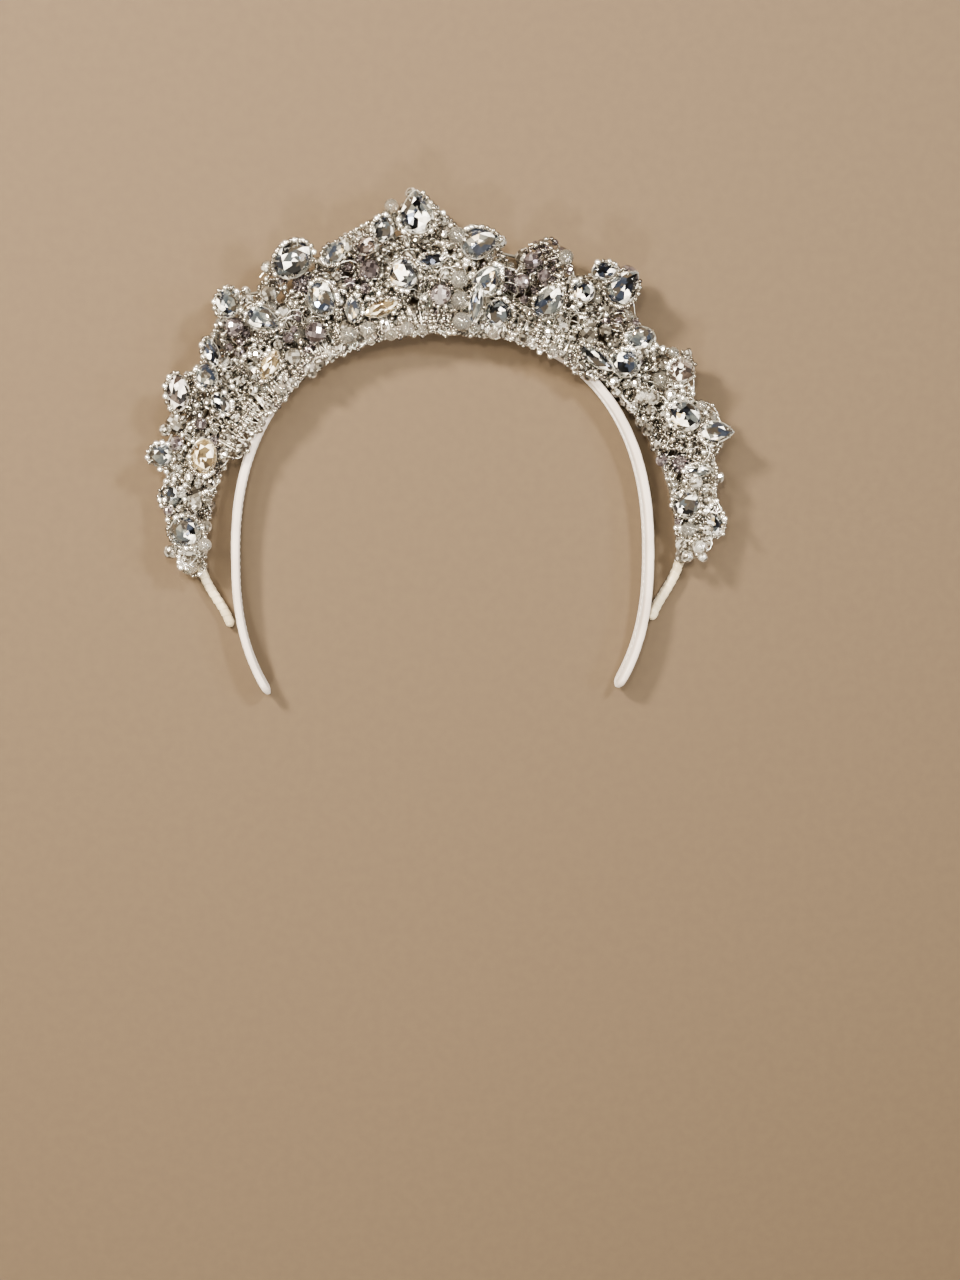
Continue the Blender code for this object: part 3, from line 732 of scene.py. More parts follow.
@dataclass
class CutStones:
    """The main stones: each a faceted stone of its own, and all their silver cups and claws."""

    lines: CrestLines
    stone_size: float = 10.0 * MM
    cup_depth: float = 0.9 * MM
    cup_depth_share: float = 0.14
    girdle_share: float = 0.05
    crown_share: float = 0.26
    table_share: float = 0.64
    star_share: float = 0.81
    star_level: float = 0.62
    heart_shift: float = 0.30
    heart_share: float = 0.45
    heart_turn: int = 1
    foot_share: float = 0.62
    rim: float = 0.22 * MM
    front_share: float = 0.74
    girdle_edge: float = 0.985
    base_share: float = 0.60
    base_level: float = 0.4
    halos: int = 2
    mains: int = 8
    claws: int = 4
    claw: float = 0.42 * MM
    claw_sides: int = 6
    cup_sides: int = 32
    halo_steps: int = 12
    halo_span: Pair = (0.18, 0.42)
    halo_level: Pair = (0.2 * MM, 0.8 * MM)
    halo_outset: Pair = (0.5 * MM, 0.9 * MM)
    seed: int = 11
    gems: list[Object] = field(default_factory=list)
    fronts: SkinBuilder = field(default_factory=SkinBuilder)
    strands: list[tuple[float, list[Vector]]] = field(default_factory=list)

    def outline(self, kind: StoneKind, turn: float) -> Vector:
        """Return a point of a stone's outline, 1 long and 1 wide, at a turn from the end that points out."""
        along = math.cos(turn) / 2.0
        across = math.sin(turn) / 2.0
        if kind is StoneKind.PEAR:
            across *= 1.22 * abs(math.sin(turn / 2.0)) ** 0.7
        if kind is StoneKind.NAVETTE:
            across *= abs(math.sin(turn)) ** 0.5
        return Vector((across, along, 0.0))

    def ring(self, spot: StoneSpot, share: float, z: float, count: int,
             shift: float = 0.0, outset: float = 0.0) -> list[Vector]:
        """Return one ring of a stone in its own frame.

        Args:
            spot: The stone.
            share: Its size as a share of the girdle.
            z: Its level above the cup's foot.
            count: How many points it has.
            shift: How far it is turned, in steps.
            outset: How far it is moved outwards.

        Returns:
            The ring, anticlockwise seen from the stone's front.
        """
        length = spot.length * self.stone_size
        width = spot.width * self.stone_size
        ring = []
        for k in range(count):
            point = self.outline(spot.kind, -2.0 * math.pi * (k + shift) / count)
            flat = Vector((point.x * width * share, point.y * length * share, 0.0))
            if outset and flat.length > 0.0:
                flat += flat.normalized() * outset
            ring.append(Vector((flat.x, flat.y, z)))
        return ring

    def levels(self, spot: StoneSpot) -> tuple[float, float, float]:
        """Return the levels of the cup's top, the girdle's top and the table, above the cup's foot."""
        width = spot.width * self.stone_size
        cup_top = self.cup_depth + self.cup_depth_share * width
        girdle_top = cup_top + self.girdle_share * width
        return cup_top, girdle_top, girdle_top + self.crown_share * width

    def matrix(self, spot: StoneSpot, node: str) -> Matrix:
        """Return a stone's place: its spot on the crest, raised to the level of its solid."""
        start = self.lines.point(spot.bearing, spot.rise * self.lines.crest_rise)
        turn = Matrix.Rotation(-math.radians(spot.bearing), 4, "Z")
        lean = Matrix.Rotation(math.radians(self.lines.lean + spot.lean), 4, "X")
        roll = Matrix.Rotation(math.radians(spot.roll), 4, "Y")
        spin = Matrix.Rotation(-math.radians(spot.spin), 4, "Z")
        matrix = Matrix.Translation(start) @ turn @ lean @ roll @ spin
        cup_top, _, _ = self.levels(spot)
        solid = self.ring(spot, self.foot_share, 0.0, 12) + self.ring(spot, 1.0, cup_top, 12)
        lowest = min((matrix @ point).z for point in solid)
        return Matrix.Translation((0.0, 0.0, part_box(node)[0].z - lowest)) @ matrix

    def gem(self, spot: StoneSpot, matrix: Matrix, chance: random.Random) -> SkinBuilder:
        """Build one stone: a table split into wedges painted with the pavilion's reflections, star, main and
        girdle facets, pavilion.

        Args:
            spot: The stone.
            matrix: Its place.
            chance: Its own random numbers.

        Returns:
            The stone's skin.
        """
        cup_top, girdle_top, table_level = self.levels(spot)
        mains = self.mains
        star_z = mix(girdle_top, table_level, self.star_level)
        table = self.ring(spot, self.table_share, table_level, mains)
        stars = self.ring(spot, self.star_share, star_z, mains, 0.5)
        girdle = self.ring(spot, self.girdle_edge, girdle_top, 2 * mains)
        waist = self.ring(spot, self.girdle_edge, cup_top, 2 * mains)
        base = self.ring(spot, self.base_share, cup_top * self.base_level, 2 * mains)
        middle = sum(table, Vector()) / mains
        middle += (table[chance.randrange(mains)] - middle) * self.heart_shift
        heart = [middle.lerp(point, self.heart_share) for point in table]
        points = [middle, *heart, *table, *stars, *girdle, *waist, *base]
        at_heart, at_table, at_star, at_girdle = 1, 1 + mains, 1 + 2 * mains, 1 + 3 * mains
        at_waist, at_base = at_girdle + 2 * mains, at_girdle + 4 * mains
        # The pattern's tones are painted reflections on the table's wedges and on the rim.
        table_tones, rim_tones = ([int(tone) for tone in row] for row in spot.pattern.value)
        faces: list[tuple[int, ...]] = []
        tones: list[float] = []
        for k in range(mains):
            j = (k + 1) % mains
            before = (k - 1) % mains
            faces += [
                (0, at_heart + k, at_heart + j),
                (at_heart + k, at_table + k, at_table + j, at_heart + j),
                (at_table + k, at_star + k, at_table + j),
                (at_table + k, at_star + before, at_girdle + 2 * k, at_star + k),
                (at_star + k, at_girdle + 2 * k, at_girdle + 2 * k + 1),
                (at_star + k, at_girdle + 2 * k + 1, at_girdle + (2 * k + 2) % (2 * mains)),
            ]
            here = (k + spot.start) % mains
            inner = table_tones[(here + self.heart_turn) % mains]
            outer = table_tones[here]
            # Tone 8 is a white painted glint.
            star = chance.choice((outer, rim_tones[here], rim_tones[here], 8))
            edges = chance.choices(rim_tones, k=2)
            tones += [tone / 9.0 for tone in (inner, outer, star, rim_tones[here], *edges)]
        for k in range(2 * mains):
            j = (k + 1) % (2 * mains)
            faces.append((at_waist + k, at_waist + j, at_girdle + j, at_girdle + k))
            faces.append((at_base + k, at_base + j, at_waist + j, at_waist + k))
            tones += [0.75, 0.5]
        faces.append(tuple(at_base + k for k in reversed(range(2 * mains))))
        tones.append(0.5)
        skin = SkinBuilder()
        skin.add([matrix @ point for point in points], faces, tones)
        return skin

    def cup(self, spot: StoneSpot, matrix: Matrix, skin: SkinBuilder) -> None:
        """Add one silver cup with its rim and claws to a skin.

        Args:
            spot: The stone.
            matrix: Its place.
            skin: What the cup is added to.
        """
        cup_top, girdle_top, table_level = self.levels(spot)
        rings = (
            (self.foot_share, 0.0, 0.0), (self.foot_share + 0.08, 0.1 * cup_top, 0.0),
            (0.93, 0.72 * cup_top, 0.1 * MM), (0.99, cup_top, self.rim * 0.8),
            (0.99, girdle_top, self.rim), (0.985, girdle_top + 0.12 * MM, self.rim * 0.5),
            (0.98, girdle_top, 0.0), (0.90, cup_top, 0.0),
        )
        lofted = [[matrix @ p for p in self.ring(spot, share, z, self.cup_sides, 0.0, outset)]
                  for share, z, outset in rings]
        skin.add(*loft(lofted), 0.6)
        tip = mix(girdle_top, table_level, 0.55)
        for k in range(self.claws):
            turn = (k + 0.5) / self.claws
            path = []
            for share, z, outset in ((0.80, 0.3 * cup_top, 0.0), (1.0, cup_top, self.rim),
                                     (1.0, girdle_top, self.rim * 1.2), (0.86, tip, 0.15 * MM),
                                     (0.78, tip + 0.1 * MM, 0.0)):
                path.append(matrix @ self.ring(spot, share, z, 1, turn, outset)[0])
            radii = (self.claw, self.claw * 0.9, self.claw * 0.75, self.claw * 0.62, self.claw * 0.3)
            wire = []
            for point, along, radius in zip(path, headings(path), radii):
                side = along.cross(matrix.to_3x3() @ UP).normalized()
                front = side.cross(along)
                wire.append([
                    point + (side * math.cos(a) - front * math.sin(a)) * radius
                    for a in (2.0 * math.pi * n / self.claw_sides for n in range(self.claw_sides))
                ])
            skin.add(*loft(wire), 0.6)

    def halo(self, spot: StoneSpot, matrix: Matrix, chance: random.Random) -> list[Vector]:
        """Return a path for seed beads along part of a stone's edge, a little proud of its girdle.

        Args:
            spot: The stone.
            matrix: Its place.
            chance: Its own random numbers.

        Returns:
            The path.
        """
        _, girdle_top, _ = self.levels(spot)
        start = chance.random()
        span = chance.uniform(*self.halo_span)
        path = []
        for k in range(self.halo_steps + 1):
            level = girdle_top + chance.uniform(*self.halo_level)
            outset = chance.uniform(*self.halo_outset)
            turn = start + span * k / self.halo_steps
            path.append(matrix @ self.ring(spot, 1.0, level, 1, turn, outset)[0])
        return path

    def build(self) -> None:
        """Build every stone and one piece with all the cups and claws."""
        counts: dict[str, int] = {}
        cups = SkinBuilder()
        for index, spot in enumerate(STONE_SPOTS):
            kind = spot.kind.value
            counts[kind] = counts.get(kind, 0) + 1
            node = f"{kind}_{counts[kind]:02d}"
            matrix = self.matrix(spot, node)
            chance = random.Random(self.seed + index)
            finish, slot = spot.tone.value
            skin = self.gem(spot, matrix, chance)
            gem = make_object(f"{node}_stone", skin.mesh(node, 4.0), [finish])
            place_piece(gem, [node])
            self.gems.append(gem)
            self.cup(spot, matrix, cups)
            table_level = self.levels(spot)[2]
            front = [matrix @ point for point in self.ring(spot, self.front_share, table_level, 16)]
            self.fronts.add(front, [tuple(range(16))], 0.5)
            for _ in range(self.halos):
                self.strands.append((spot.bearing, self.halo(spot, matrix, chance)))
        obj = make_object("stone_cups", cups.mesh("stone_cups", 40.0), [SILVER])
        place_piece(obj)


class NodeShape:
    """A geometry tree with named inputs, used once on one object."""

    def __init__(self, name: str, sockets: Sequence[tuple[str, str]]) -> None:
        """Start a tree.

        Args:
            name: The tree's name.
            sockets: Names and types of its inputs after the geometry.
        """
        self.tree = bpy.data.node_groups.new(name, "GeometryNodeTree")
        face = self.tree.interface
        face.new_socket("Geometry", in_out="INPUT", socket_type="NodeSocketGeometry")
        self.keys = {label: face.new_socket(label, in_out="INPUT", socket_type=kind).identifier
                     for label, kind in sockets}
        face.new_socket("Geometry", in_out="OUTPUT", socket_type="NodeSocketGeometry")
        self.start = self.node("NodeGroupInput")

    def node(self, kind: str, settings: dict | None = None, links: dict | None = None) -> Node:
        """Add a node to the tree."""
        return add_node(self.tree, kind, settings, links)

    def end(self, source: Any, finish: Finish) -> None:
        """Realize what the source gives, set its material and end the tree."""
        real = self.node("GeometryNodeRealizeInstances", links={"Geometry": source})
        dressed = self.node("GeometryNodeSetMaterial", {"Material": finish.material()},
                            {"Geometry": (real, "Geometry")})
        self.node("NodeGroupOutput", links={"Geometry": (dressed, "Geometry")})

    def run(self, carrier: Object, values: dict[str, Any], name: str) -> Object:
        """Run the tree on a carrier and keep the result as a plain mesh.

        Args:
            carrier: The object that holds the points or paths. It is removed.
            values: Values of the named inputs.
            name: The new object's name.

        Returns:
            The new object.
        """
        modifier = carrier.modifiers.new("shape", "NODES")
        modifier.node_group = self.tree
        for label, value in values.items():
            modifier[self.keys[label]] = value
        evaluated = carrier.evaluated_get(bpy.context.evaluated_depsgraph_get())
        mesh = bpy.data.meshes.new_from_object(evaluated)
        carrier.modifiers.remove(modifier)
        bpy.data.objects.remove(carrier)
        return make_object(name, mesh, [])


@dataclass
class Carrier:
    """Points or paths that a geometry tree repeats a shape on."""

    points: list[Vector] = field(default_factory=list)
    edges: list[tuple[int, int]] = field(default_factory=list)
    sizes: list[float] = field(default_factory=list)
    tones: list[float] = field(default_factory=list)

    def add_point(self, point: Vector, size: float, tone: float) -> None:
        """Add one point with its size and tone."""
        self.points.append(point)
        self.sizes.append(size)
        self.tones.append(tone)

    def add_path(self, path: Sequence[Vector], size: float, tone: float) -> None:
        """Add one open path with one size and tone."""
        start = len(self.points)
        for point in path:
            self.add_point(point, size, tone)
        self.edges += [(start + k, start + k + 1) for k in range(len(path) - 1)]

    def object(self) -> Object:
        """Return a carrier object with the points, paths, sizes and tones."""
        mesh = bpy.data.meshes.new("carrier")
        mesh.from_pydata([tuple(p) for p in self.points], self.edges, [])
        mesh.attributes.new("size", "FLOAT", "POINT").data.foreach_set("value", self.sizes)
        mesh.attributes.new("tone", "FLOAT", "POINT").data.foreach_set("value", self.tones)
        return make_object("carrier", mesh, [])


def one_bead(shape: NodeShape, smooth: bool) -> Node:
    """Add nodes for one bead, 1 across, with the sides and rings that the tree's inputs give it."""
    ball = shape.node("GeometryNodeMeshUVSphere", {"Radius": 0.5},
                      {"Segments": (shape.start, "Bead Sides"), "Rings": (shape.start, "Bead Rings")})
    return shape.node("GeometryNodeSetShadeSmooth", {"Shade Smooth": smooth}, {"Geometry": (ball, "Mesh")})


def spread_tone(shape: NodeShape, source: Any, domain: str) -> Node:
    """Add nodes that store the carrier's tone with a random part, as wide as "Tone Spread" says.

    Args:
        shape: The tree.
        source: The geometry that gets the tones.
        domain: What gets a tone of its own, each FACE or each INSTANCE.

    Returns:
        The node whose "Geometry" output has the tones.
    """
    tone = shape.node("GeometryNodeInputNamedAttribute", {"data_type": "FLOAT", "Name": "tone"})
    odd = shape.node("FunctionNodeRandomValue", {"data_type": "FLOAT", "Min": -1.0, "Max": 1.0},
                     {"Seed": (shape.start, "Seed")})
    shift = shape.node("ShaderNodeMath", {"operation": "MULTIPLY_ADD"},
                       {0: (odd, "Value"), 1: (shape.start, "Tone Spread"), 2: (tone, "Attribute")})
    return shape.node("GeometryNodeStoreNamedAttribute",
                      {"data_type": "FLOAT", "domain": domain, "Name": "facet"},
                      {"Geometry": source, "Value": (shift, "Value")})


def smooth_curve(shape: NodeShape, source: Any) -> Node:
    """Add nodes that turn edges into smooth curves, as fine as the tree's "Steps" input says.

    Args:
        shape: The tree.
        source: The mesh with the edges.

    Returns:
        The node whose "Geometry" output has the curves.
    """
    curve = shape.node("GeometryNodeMeshToCurve", links={"Mesh": source})
    bent = shape.node("GeometryNodeCurveSplineType", {"spline_type": "CATMULL_ROM"},
                      {"Curve": (curve, "Curve")})
    return shape.node("GeometryNodeSetSplineResolution",
                      links={"Geometry": (bent, "Curve"), "Resolution": (shape.start, "Steps")})


def bead_shape(name: str, finish: Finish, faceted: bool) -> NodeShape:
    """Build a tree that sets one bead on each point of its carrier.

    Args:
        name: The tree's name.
        finish: The beads' finish.
        faceted: Whether the beads are cut, with a tone for each facet, or smooth.

    Returns:
        The tree, with inputs for sides, rings, the spread of facet tones and the seed.
    """
    shape = NodeShape(name, (("Bead Sides", INT), ("Bead Rings", INT), ("Tone Spread", FLOAT), ("Seed", INT)))
    start = shape.start
    size = shape.node("GeometryNodeInputNamedAttribute", {"data_type": "FLOAT", "Name": "size"})
    turn = shape.node("FunctionNodeRandomValue", {"data_type": "FLOAT_VECTOR", "Max": (FULL_TURN,) * 3},
                      {"Seed": (start, "Seed")})
    spread = shape.node("GeometryNodeInstanceOnPoints", links={
        "Points": (start, "Geometry"), "Instance": (one_bead(shape, not faceted), "Geometry"),
        "Rotation": (turn, "Value"), "Scale": (size, "Attribute")})
    real = shape.node("GeometryNodeRealizeInstances", links={"Geometry": (spread, "Instances")})
    shape.end((spread_tone(shape, (real, "Geometry"), "FACE"), "Geometry"), finish)
    return shape


def over_stone(shape: NodeShape) -> Node:
    """Add nodes that say whether a stone's front lies right behind a point, seen from the front.

    Args:
        shape: The tree, which has a "Fronts" input for the flat fronts of the stones.

    Returns:
        The node whose "Is Hit" output says so.
    """
    fronts = shape.node("GeometryNodeObjectInfo", links={"Object": (shape.start, "Fronts")})
    return shape.node("GeometryNodeRaycast", {"Ray Direction": (0.0, 0.0, -1.0), "Ray Length": 0.03},
                      {"Target Geometry": (fronts, "Geometry")})


def wire_shape(name: str, finish: Finish) -> NodeShape:
    """Build a tree that draws a round wire along each path of its carrier, but not across a stone's front.

    Args:
        name: The tree's name.
        finish: The wire's finish.

    Returns:
        The tree, with inputs for the wire's sides, the smoothness of its path and the stones' fronts.
    """
    shape = NodeShape(name, (("Wire Sides", INT), ("Steps", INT), ("Fronts", OBJECT)))
    start = shape.start
    split = shape.node("GeometryNodeSubdivideMesh", {"Level": 1}, {"Mesh": (start, "Geometry")})
    shown = shape.node("GeometryNodeDeleteGeometry", {"domain": "POINT"},
                       {"Geometry": (split, "Mesh"), "Selection": (over_stone(shape), "Is Hit")})
    size = shape.node("GeometryNodeInputNamedAttribute", {"data_type": "FLOAT", "Name": "size"})
    radius = shape.node("GeometryNodeSetCurveRadius", links={
        "Curve": (smooth_curve(shape, (shown, "Geometry")), "Geometry"), "Radius": (size, "Attribute")})
    section = shape.node("GeometryNodeCurvePrimitiveCircle", {"Radius": 0.5},
                         {"Resolution": (start, "Wire Sides")})
    wire = shape.node("GeometryNodeCurveToMesh", {"Fill Caps": True},
                      {"Curve": (radius, "Curve"), "Profile Curve": (section, "Curve"),
                       "Scale": (size, "Attribute")})
    smooth = shape.node("GeometryNodeSetShadeSmooth", {"Shade Smooth": True}, {"Geometry": (wire, "Mesh")})
    shape.end((smooth, "Geometry"), finish)
    return shape


def threaded_shape(name: str, finish: Finish) -> NodeShape:
    """Build a tree that threads seed beads along each path and leaves out those that would cut a neighbour.

    Args:
        name: The tree's name.
        finish: The seed beads' finish.

    Returns:
        The tree, with inputs for spacing, sides, rings, spread, seed and what to keep clear of.
    """
    shape = NodeShape(name, (
        ("Spacing", FLOAT), ("Steps", INT), ("Bead Sides", INT), ("Bead Rings", INT), ("Tone Spread", FLOAT),
        ("Seed", INT), ("Stones", OBJECT), ("Fronts", OBJECT), ("Beads", OBJECT), ("Clear By", FLOAT),
    ))
    start = shape.start
    curve = smooth_curve(shape, (start, "Geometry"))
    beads = shape.node("GeometryNodeResampleCurve", {"mode": "LENGTH"},
                       {"Curve": (curve, "Geometry"), "Length": (start, "Spacing")})
    points = shape.node("GeometryNodeCurveToPoints", {"mode": "EVALUATED"}, {"Curve": (beads, "Curve")})
    stones = shape.node("GeometryNodeObjectInfo", links={"Object": (start, "Stones")})
    near_stone = shape.node("GeometryNodeProximity", {"target_element": "FACES"}, {0: (stones, "Geometry")})
    in_stone = shape.node("FunctionNodeCompare", {"data_type": "FLOAT", "operation": "LESS_THAN"},
                          {"A": (near_stone, "Distance"), "B": (start, "Clear By")})
    large = shape.node("GeometryNodeObjectInfo", links={"Object": (start, "Beads")})
    nearest = shape.node("GeometryNodeSampleNearest", {"domain": "POINT"}, {"Geometry": (large, "Geometry")})
    place = shape.node("GeometryNodeInputPosition")
    middle = shape.node("GeometryNodeSampleIndex", {"data_type": "FLOAT_VECTOR", "domain": "POINT"},
                        {"Geometry": (large, "Geometry"), "Value": (place, "Position"),
                         "Index": (nearest, "Index")})
    size = shape.node("GeometryNodeInputNamedAttribute", {"data_type": "FLOAT", "Name": "size"})
    width = shape.node("GeometryNodeSampleIndex", {"data_type": "FLOAT", "domain": "POINT"},
                       {"Geometry": (large, "Geometry"), "Value": (size, "Attribute"),
                        "Index": (nearest, "Index")})
    away = shape.node("ShaderNodeVectorMath", {"operation": "DISTANCE"},
                      {0: (place, "Position"), 1: (middle, "Value")})
    reach = shape.node("ShaderNodeMath", {"operation": "MULTIPLY_ADD", 1: 0.5},
                       {0: (width, "Value"), 2: (start, "Clear By")})
    in_bead = shape.node("FunctionNodeCompare", {"data_type": "FLOAT", "operation": "LESS_THAN"},
                         {"A": (away, "Value"), "B": (reach, "Value")})
    inside = shape.node("FunctionNodeBooleanMath", {"operation": "OR"},
                        {0: (in_stone, "Result"), 1: (in_bead, "Result")})
    unwanted = shape.node("FunctionNodeBooleanMath", {"operation": "OR"},
                          {0: (inside, "Boolean"), 1: (over_stone(shape), "Is Hit")})
    kept = shape.node("GeometryNodeDeleteGeometry", {"domain": "POINT"},
                      {"Geometry": (points, "Points"), "Selection": (unwanted, "Boolean")})
    vary = shape.node("FunctionNodeRandomValue", {"data_type": "FLOAT", "Min": 0.82, "Max": 1.12},
                      {"Seed": (start, "Seed")})
    scale = shape.node("ShaderNodeMath", {"operation": "MULTIPLY"},
                       {0: (size, "Attribute"), 1: (vary, "Value")})
    spread = shape.node("GeometryNodeInstanceOnPoints", links={
        "Points": (kept, "Geometry"), "Instance": (one_bead(shape, True), "Geometry"),
        "Rotation": (points, "Rotation"), "Scale": (scale, "Value")})
    shape.end((spread_tone(shape, (spread, "Instances"), "INSTANCE"), "Geometry"), finish)
    return shape


def draw_wires(name: str, carrier: Carrier, sides: int, steps: int, fronts: Object) -> None:
    """Make one piece of silver wires.

    Args:
        name: Its name.
        carrier: The wires' paths.
        sides: The sides of each wire.
        steps: How many steps each part of a path is smoothed into.
        fronts: The stones' fronts, which no wire crosses.
    """
    values = {"Wire Sides": sides, "Steps": steps, "Fronts": fronts}
    place_piece(wire_shape(name, SILVER).run(carrier.object(), values, name))


def stitch_shape(name: str, finish: Finish) -> NodeShape:
    """Build a tree that sews a row of slanted stitches along each level path of its carrier.

    Args:
        name: The tree's name.
        finish: The thread's finish.

    Returns:
        The tree, with inputs for the stitches' pitch, length, width, slant and sides.
    """
    shape = NodeShape(name, (("Pitch", FLOAT), ("Length", FLOAT), ("Width", FLOAT), ("Slant", FLOAT),
                             ("Sides", INT)))
    start = shape.start
    curve = shape.node("GeometryNodeMeshToCurve", links={"Mesh": (start, "Geometry")})
    upright = shape.node("GeometryNodeSetCurveNormal", {"mode": "Z_UP"}, {"Curve": (curve, "Curve")})
    spaced = shape.node("GeometryNodeResampleCurve", {"mode": "LENGTH"},
                        {"Curve": (upright, "Curve"), "Length": (start, "Pitch")})
    points = shape.node("GeometryNodeCurveToPoints", {"mode": "EVALUATED"}, {"Curve": (spaced, "Curve")})
    slant = shape.node("FunctionNodeAxisAngleToRotation", {"Axis": (1.0, 0.0, 0.0)},
                       {"Angle": (start, "Slant")})
    turned = shape.node("FunctionNodeRotateRotation", {"rotation_space": "LOCAL"},
                        {"Rotation": (points, "Rotation"), "Rotate By": (slant, "Rotation")})
    thread = shape.node("GeometryNodeMeshUVSphere", {"Radius": 0.5, "Rings": 6},
                        {"Segments": (start, "Sides")})
    smooth = shape.node("GeometryNodeSetShadeSmooth", {"Shade Smooth": True}, {"Geometry": (thread, "Mesh")})
    size = shape.node("ShaderNodeCombineXYZ", links={"X": (start, "Width"), "Y": (start, "Width"),
                                                     "Z": (start, "Length")})
    row = shape.node("GeometryNodeInstanceOnPoints", links={
        "Points": (points, "Points"), "Instance": (smooth, "Geometry"),
        "Rotation": (turned, "Rotation"), "Scale": (size, "Vector")})
    shape.end((row, "Instances"), finish)
    return shape


@dataclass(frozen=True)
class Cluster:
    """A patch of the crest whose beads share a tone."""

    bearing: float
    rise: float
    reach: float
    tone: float
    smoky: float


CLUSTERS = tuple(Cluster(bearing, rise, reach * MM, tone, smoky) for bearing, rise, reach, tone, smoky in (
    (17.5, 0.55, 14.0, 0.34, 0.95), (-16.0, 0.42, 8.0, 0.32, 0.8), (-43.0, 0.46, 8.0, 0.36, 0.7),
    (36.0, 0.42, 9.0, 0.36, 0.6), (15.0, 0.28, 7.0, 0.34, 0.5), (-31.0, 0.18, 8.0, 0.40, 0.6),
    (66.0, 0.20, 8.0, 0.44, 0.4), (-4.0, 0.18, 12.0, 0.56, 0.1), (25.0, 0.10, 8.0, 0.70, 0.0),
    (-72.0, 0.35, 14.0, 0.80, 0.0), (-38.0, 0.72, 9.0, 0.82, 0.0), (2.0, 0.30, 8.0, 0.70, 0.0),
    (-86.0, 0.10, 8.0, 0.85, 0.0), (86.0, 0.10, 8.0, 0.85, 0.0), (58.0, 0.35, 11.0, 0.74, 0.0),
    (76.0, 0.20, 10.0, 0.76, 0.1),
))


class BeadKind(Enum):
    """Kind of bead between the stones: its finish, whether it is cut, its sides and its rings."""

    CUT = (CRYSTAL_BEAD, True, 12, 8)
    SMOKY = (SMOKY_BEAD, True, 12, 8)
    GLASS = (CLEAR_BEAD, False, 20, 12)
    SEED = (SEED_BEAD, False, 7, 5)


@dataclass(frozen=True)
class AccentBead:
    """A bead that stands out, at its place in the photograph in pixels, with its diameter."""

    photo_x: float
    photo_y: float
    size: float
    kind: BeadKind


CUT, SMOKY, GLASS, SEED = BeadKind
ACCENTS = tuple(AccentBead(x, y, size * MM, kind) for x, y, size, kind in (
    (390, 209, 5.0, GLASS), (371, 247, 5.7, GLASS), (454, 237, 6.0, GLASS), (498, 243, 4.5, CUT),
    (457, 280, 6.2, GLASS), (458, 300, 6.8, GLASS), (459, 321, 6.8, GLASS), (597, 275, 5.5, CUT),
    (562, 258, 5.5, GLASS), (366, 328, 5.5, GLASS), (347, 334, 6.0, GLASS), (405, 328, 5.0, GLASS),
    (293, 355, 6.0, CUT), (269, 268, 5.0, CUT), (269, 294, 6.0, CUT), (329, 251, 4.5, CUT),
    (208, 373, 5.5, CUT), (166, 426, 4.4, CUT), (155, 446, 4.4, CUT), (165, 456, 4.4, GLASS),
    (186, 564, 6.0, GLASS), (168, 548, 5.0, CUT), (693, 532, 5.5, GLASS), (698, 483, 5.0, CUT),
    (723, 479, 4.5, CUT), (703, 549, 5.5, CUT), (368, 270, 7.0, SMOKY), (439, 295, 7.6, SMOKY),
    (315, 331, 7.6, SMOKY), (235, 326, 7.0, SMOKY), (528, 262, 6.0, SMOKY), (545, 250, 5.0, SMOKY),
    (519, 282, 5.5, SMOKY), (541, 276, 5.0, SMOKY), (640, 352, 5.0, CUT), (680, 372, 5.5, CUT),
    (193, 500, 5.0, CUT), (202, 540, 5.0, GLASS), (230, 300, 5.0, CUT), (345, 247, 5.5, CUT),
    (475, 236, 4.5, CUT), (653, 398, 5.0, CUT),
))


class Spheres:
    """Beads that are already set, in a grid that finds those near a place."""

    def __init__(self, cell: float) -> None:
        """Start with none, in cells at least as wide as the largest bead."""
        self.cell = cell
        self.grid: dict[tuple[int, ...], list[tuple[Vector, float]]] = {}

    def key(self, point: Vector) -> tuple[int, ...]:
        """Return the cell of a point."""
        return tuple(math.floor(value / self.cell) for value in point)

    def add(self, point: Vector, radius: float) -> None:
        """Set one bead."""
        self.grid.setdefault(self.key(point), []).append((point, radius))

    def carrier(self) -> Carrier:
        """Return the middles and diameters of all beads."""
        spheres = Carrier()
        for cell in self.grid.values():
            for point, radius in cell:
                spheres.add_point(point, 2.0 * radius, 0.0)
        return spheres

    def free(self, point: Vector, radius: float) -> bool:
        """Say whether a bead fits at a point."""
        at = self.key(point)
        for step in ((i, j, k) for i in (-1, 0, 1) for j in (-1, 0, 1) for k in (-1, 0, 1)):
            for other, reach in self.grid.get(tuple(a + s for a, s in zip(at, step)), ()):
                if (other - point).length < reach + radius:
                    return False
        return True


@dataclass(frozen=True)
class LoopForm:
    """Ranges for a loop of fine wire: its reach, half width and top, and the way that it turns."""

    reach: Pair = (4.0 * MM, 9.0 * MM)
    half_width: Pair = (1.8 * MM, 3.6 * MM)
    top: Pair = (5.5 * MM, 11.0 * MM)
    heading: Pair = (-1.3, 1.3)
    foot: float = 0.5 * MM
    steps: int = 10


@dataclass(frozen=True)
class DropForm:
    """Ranges for a strand at the crest's foot: its fall, how far in front it hangs, and its width."""

    fall: Pair
    front: Pair
    width: Pair = (1.6, 3.4)
    top: float = 4.5 * MM
    steps: int = 8


OVER_BAND = DropForm((4.2 * MM, 6.0 * MM), (9.9 * MM, 11.4 * MM))
BESIDE_BAND = DropForm((0.2 * MM, 1.4 * MM), (2.5 * MM, 8.5 * MM))


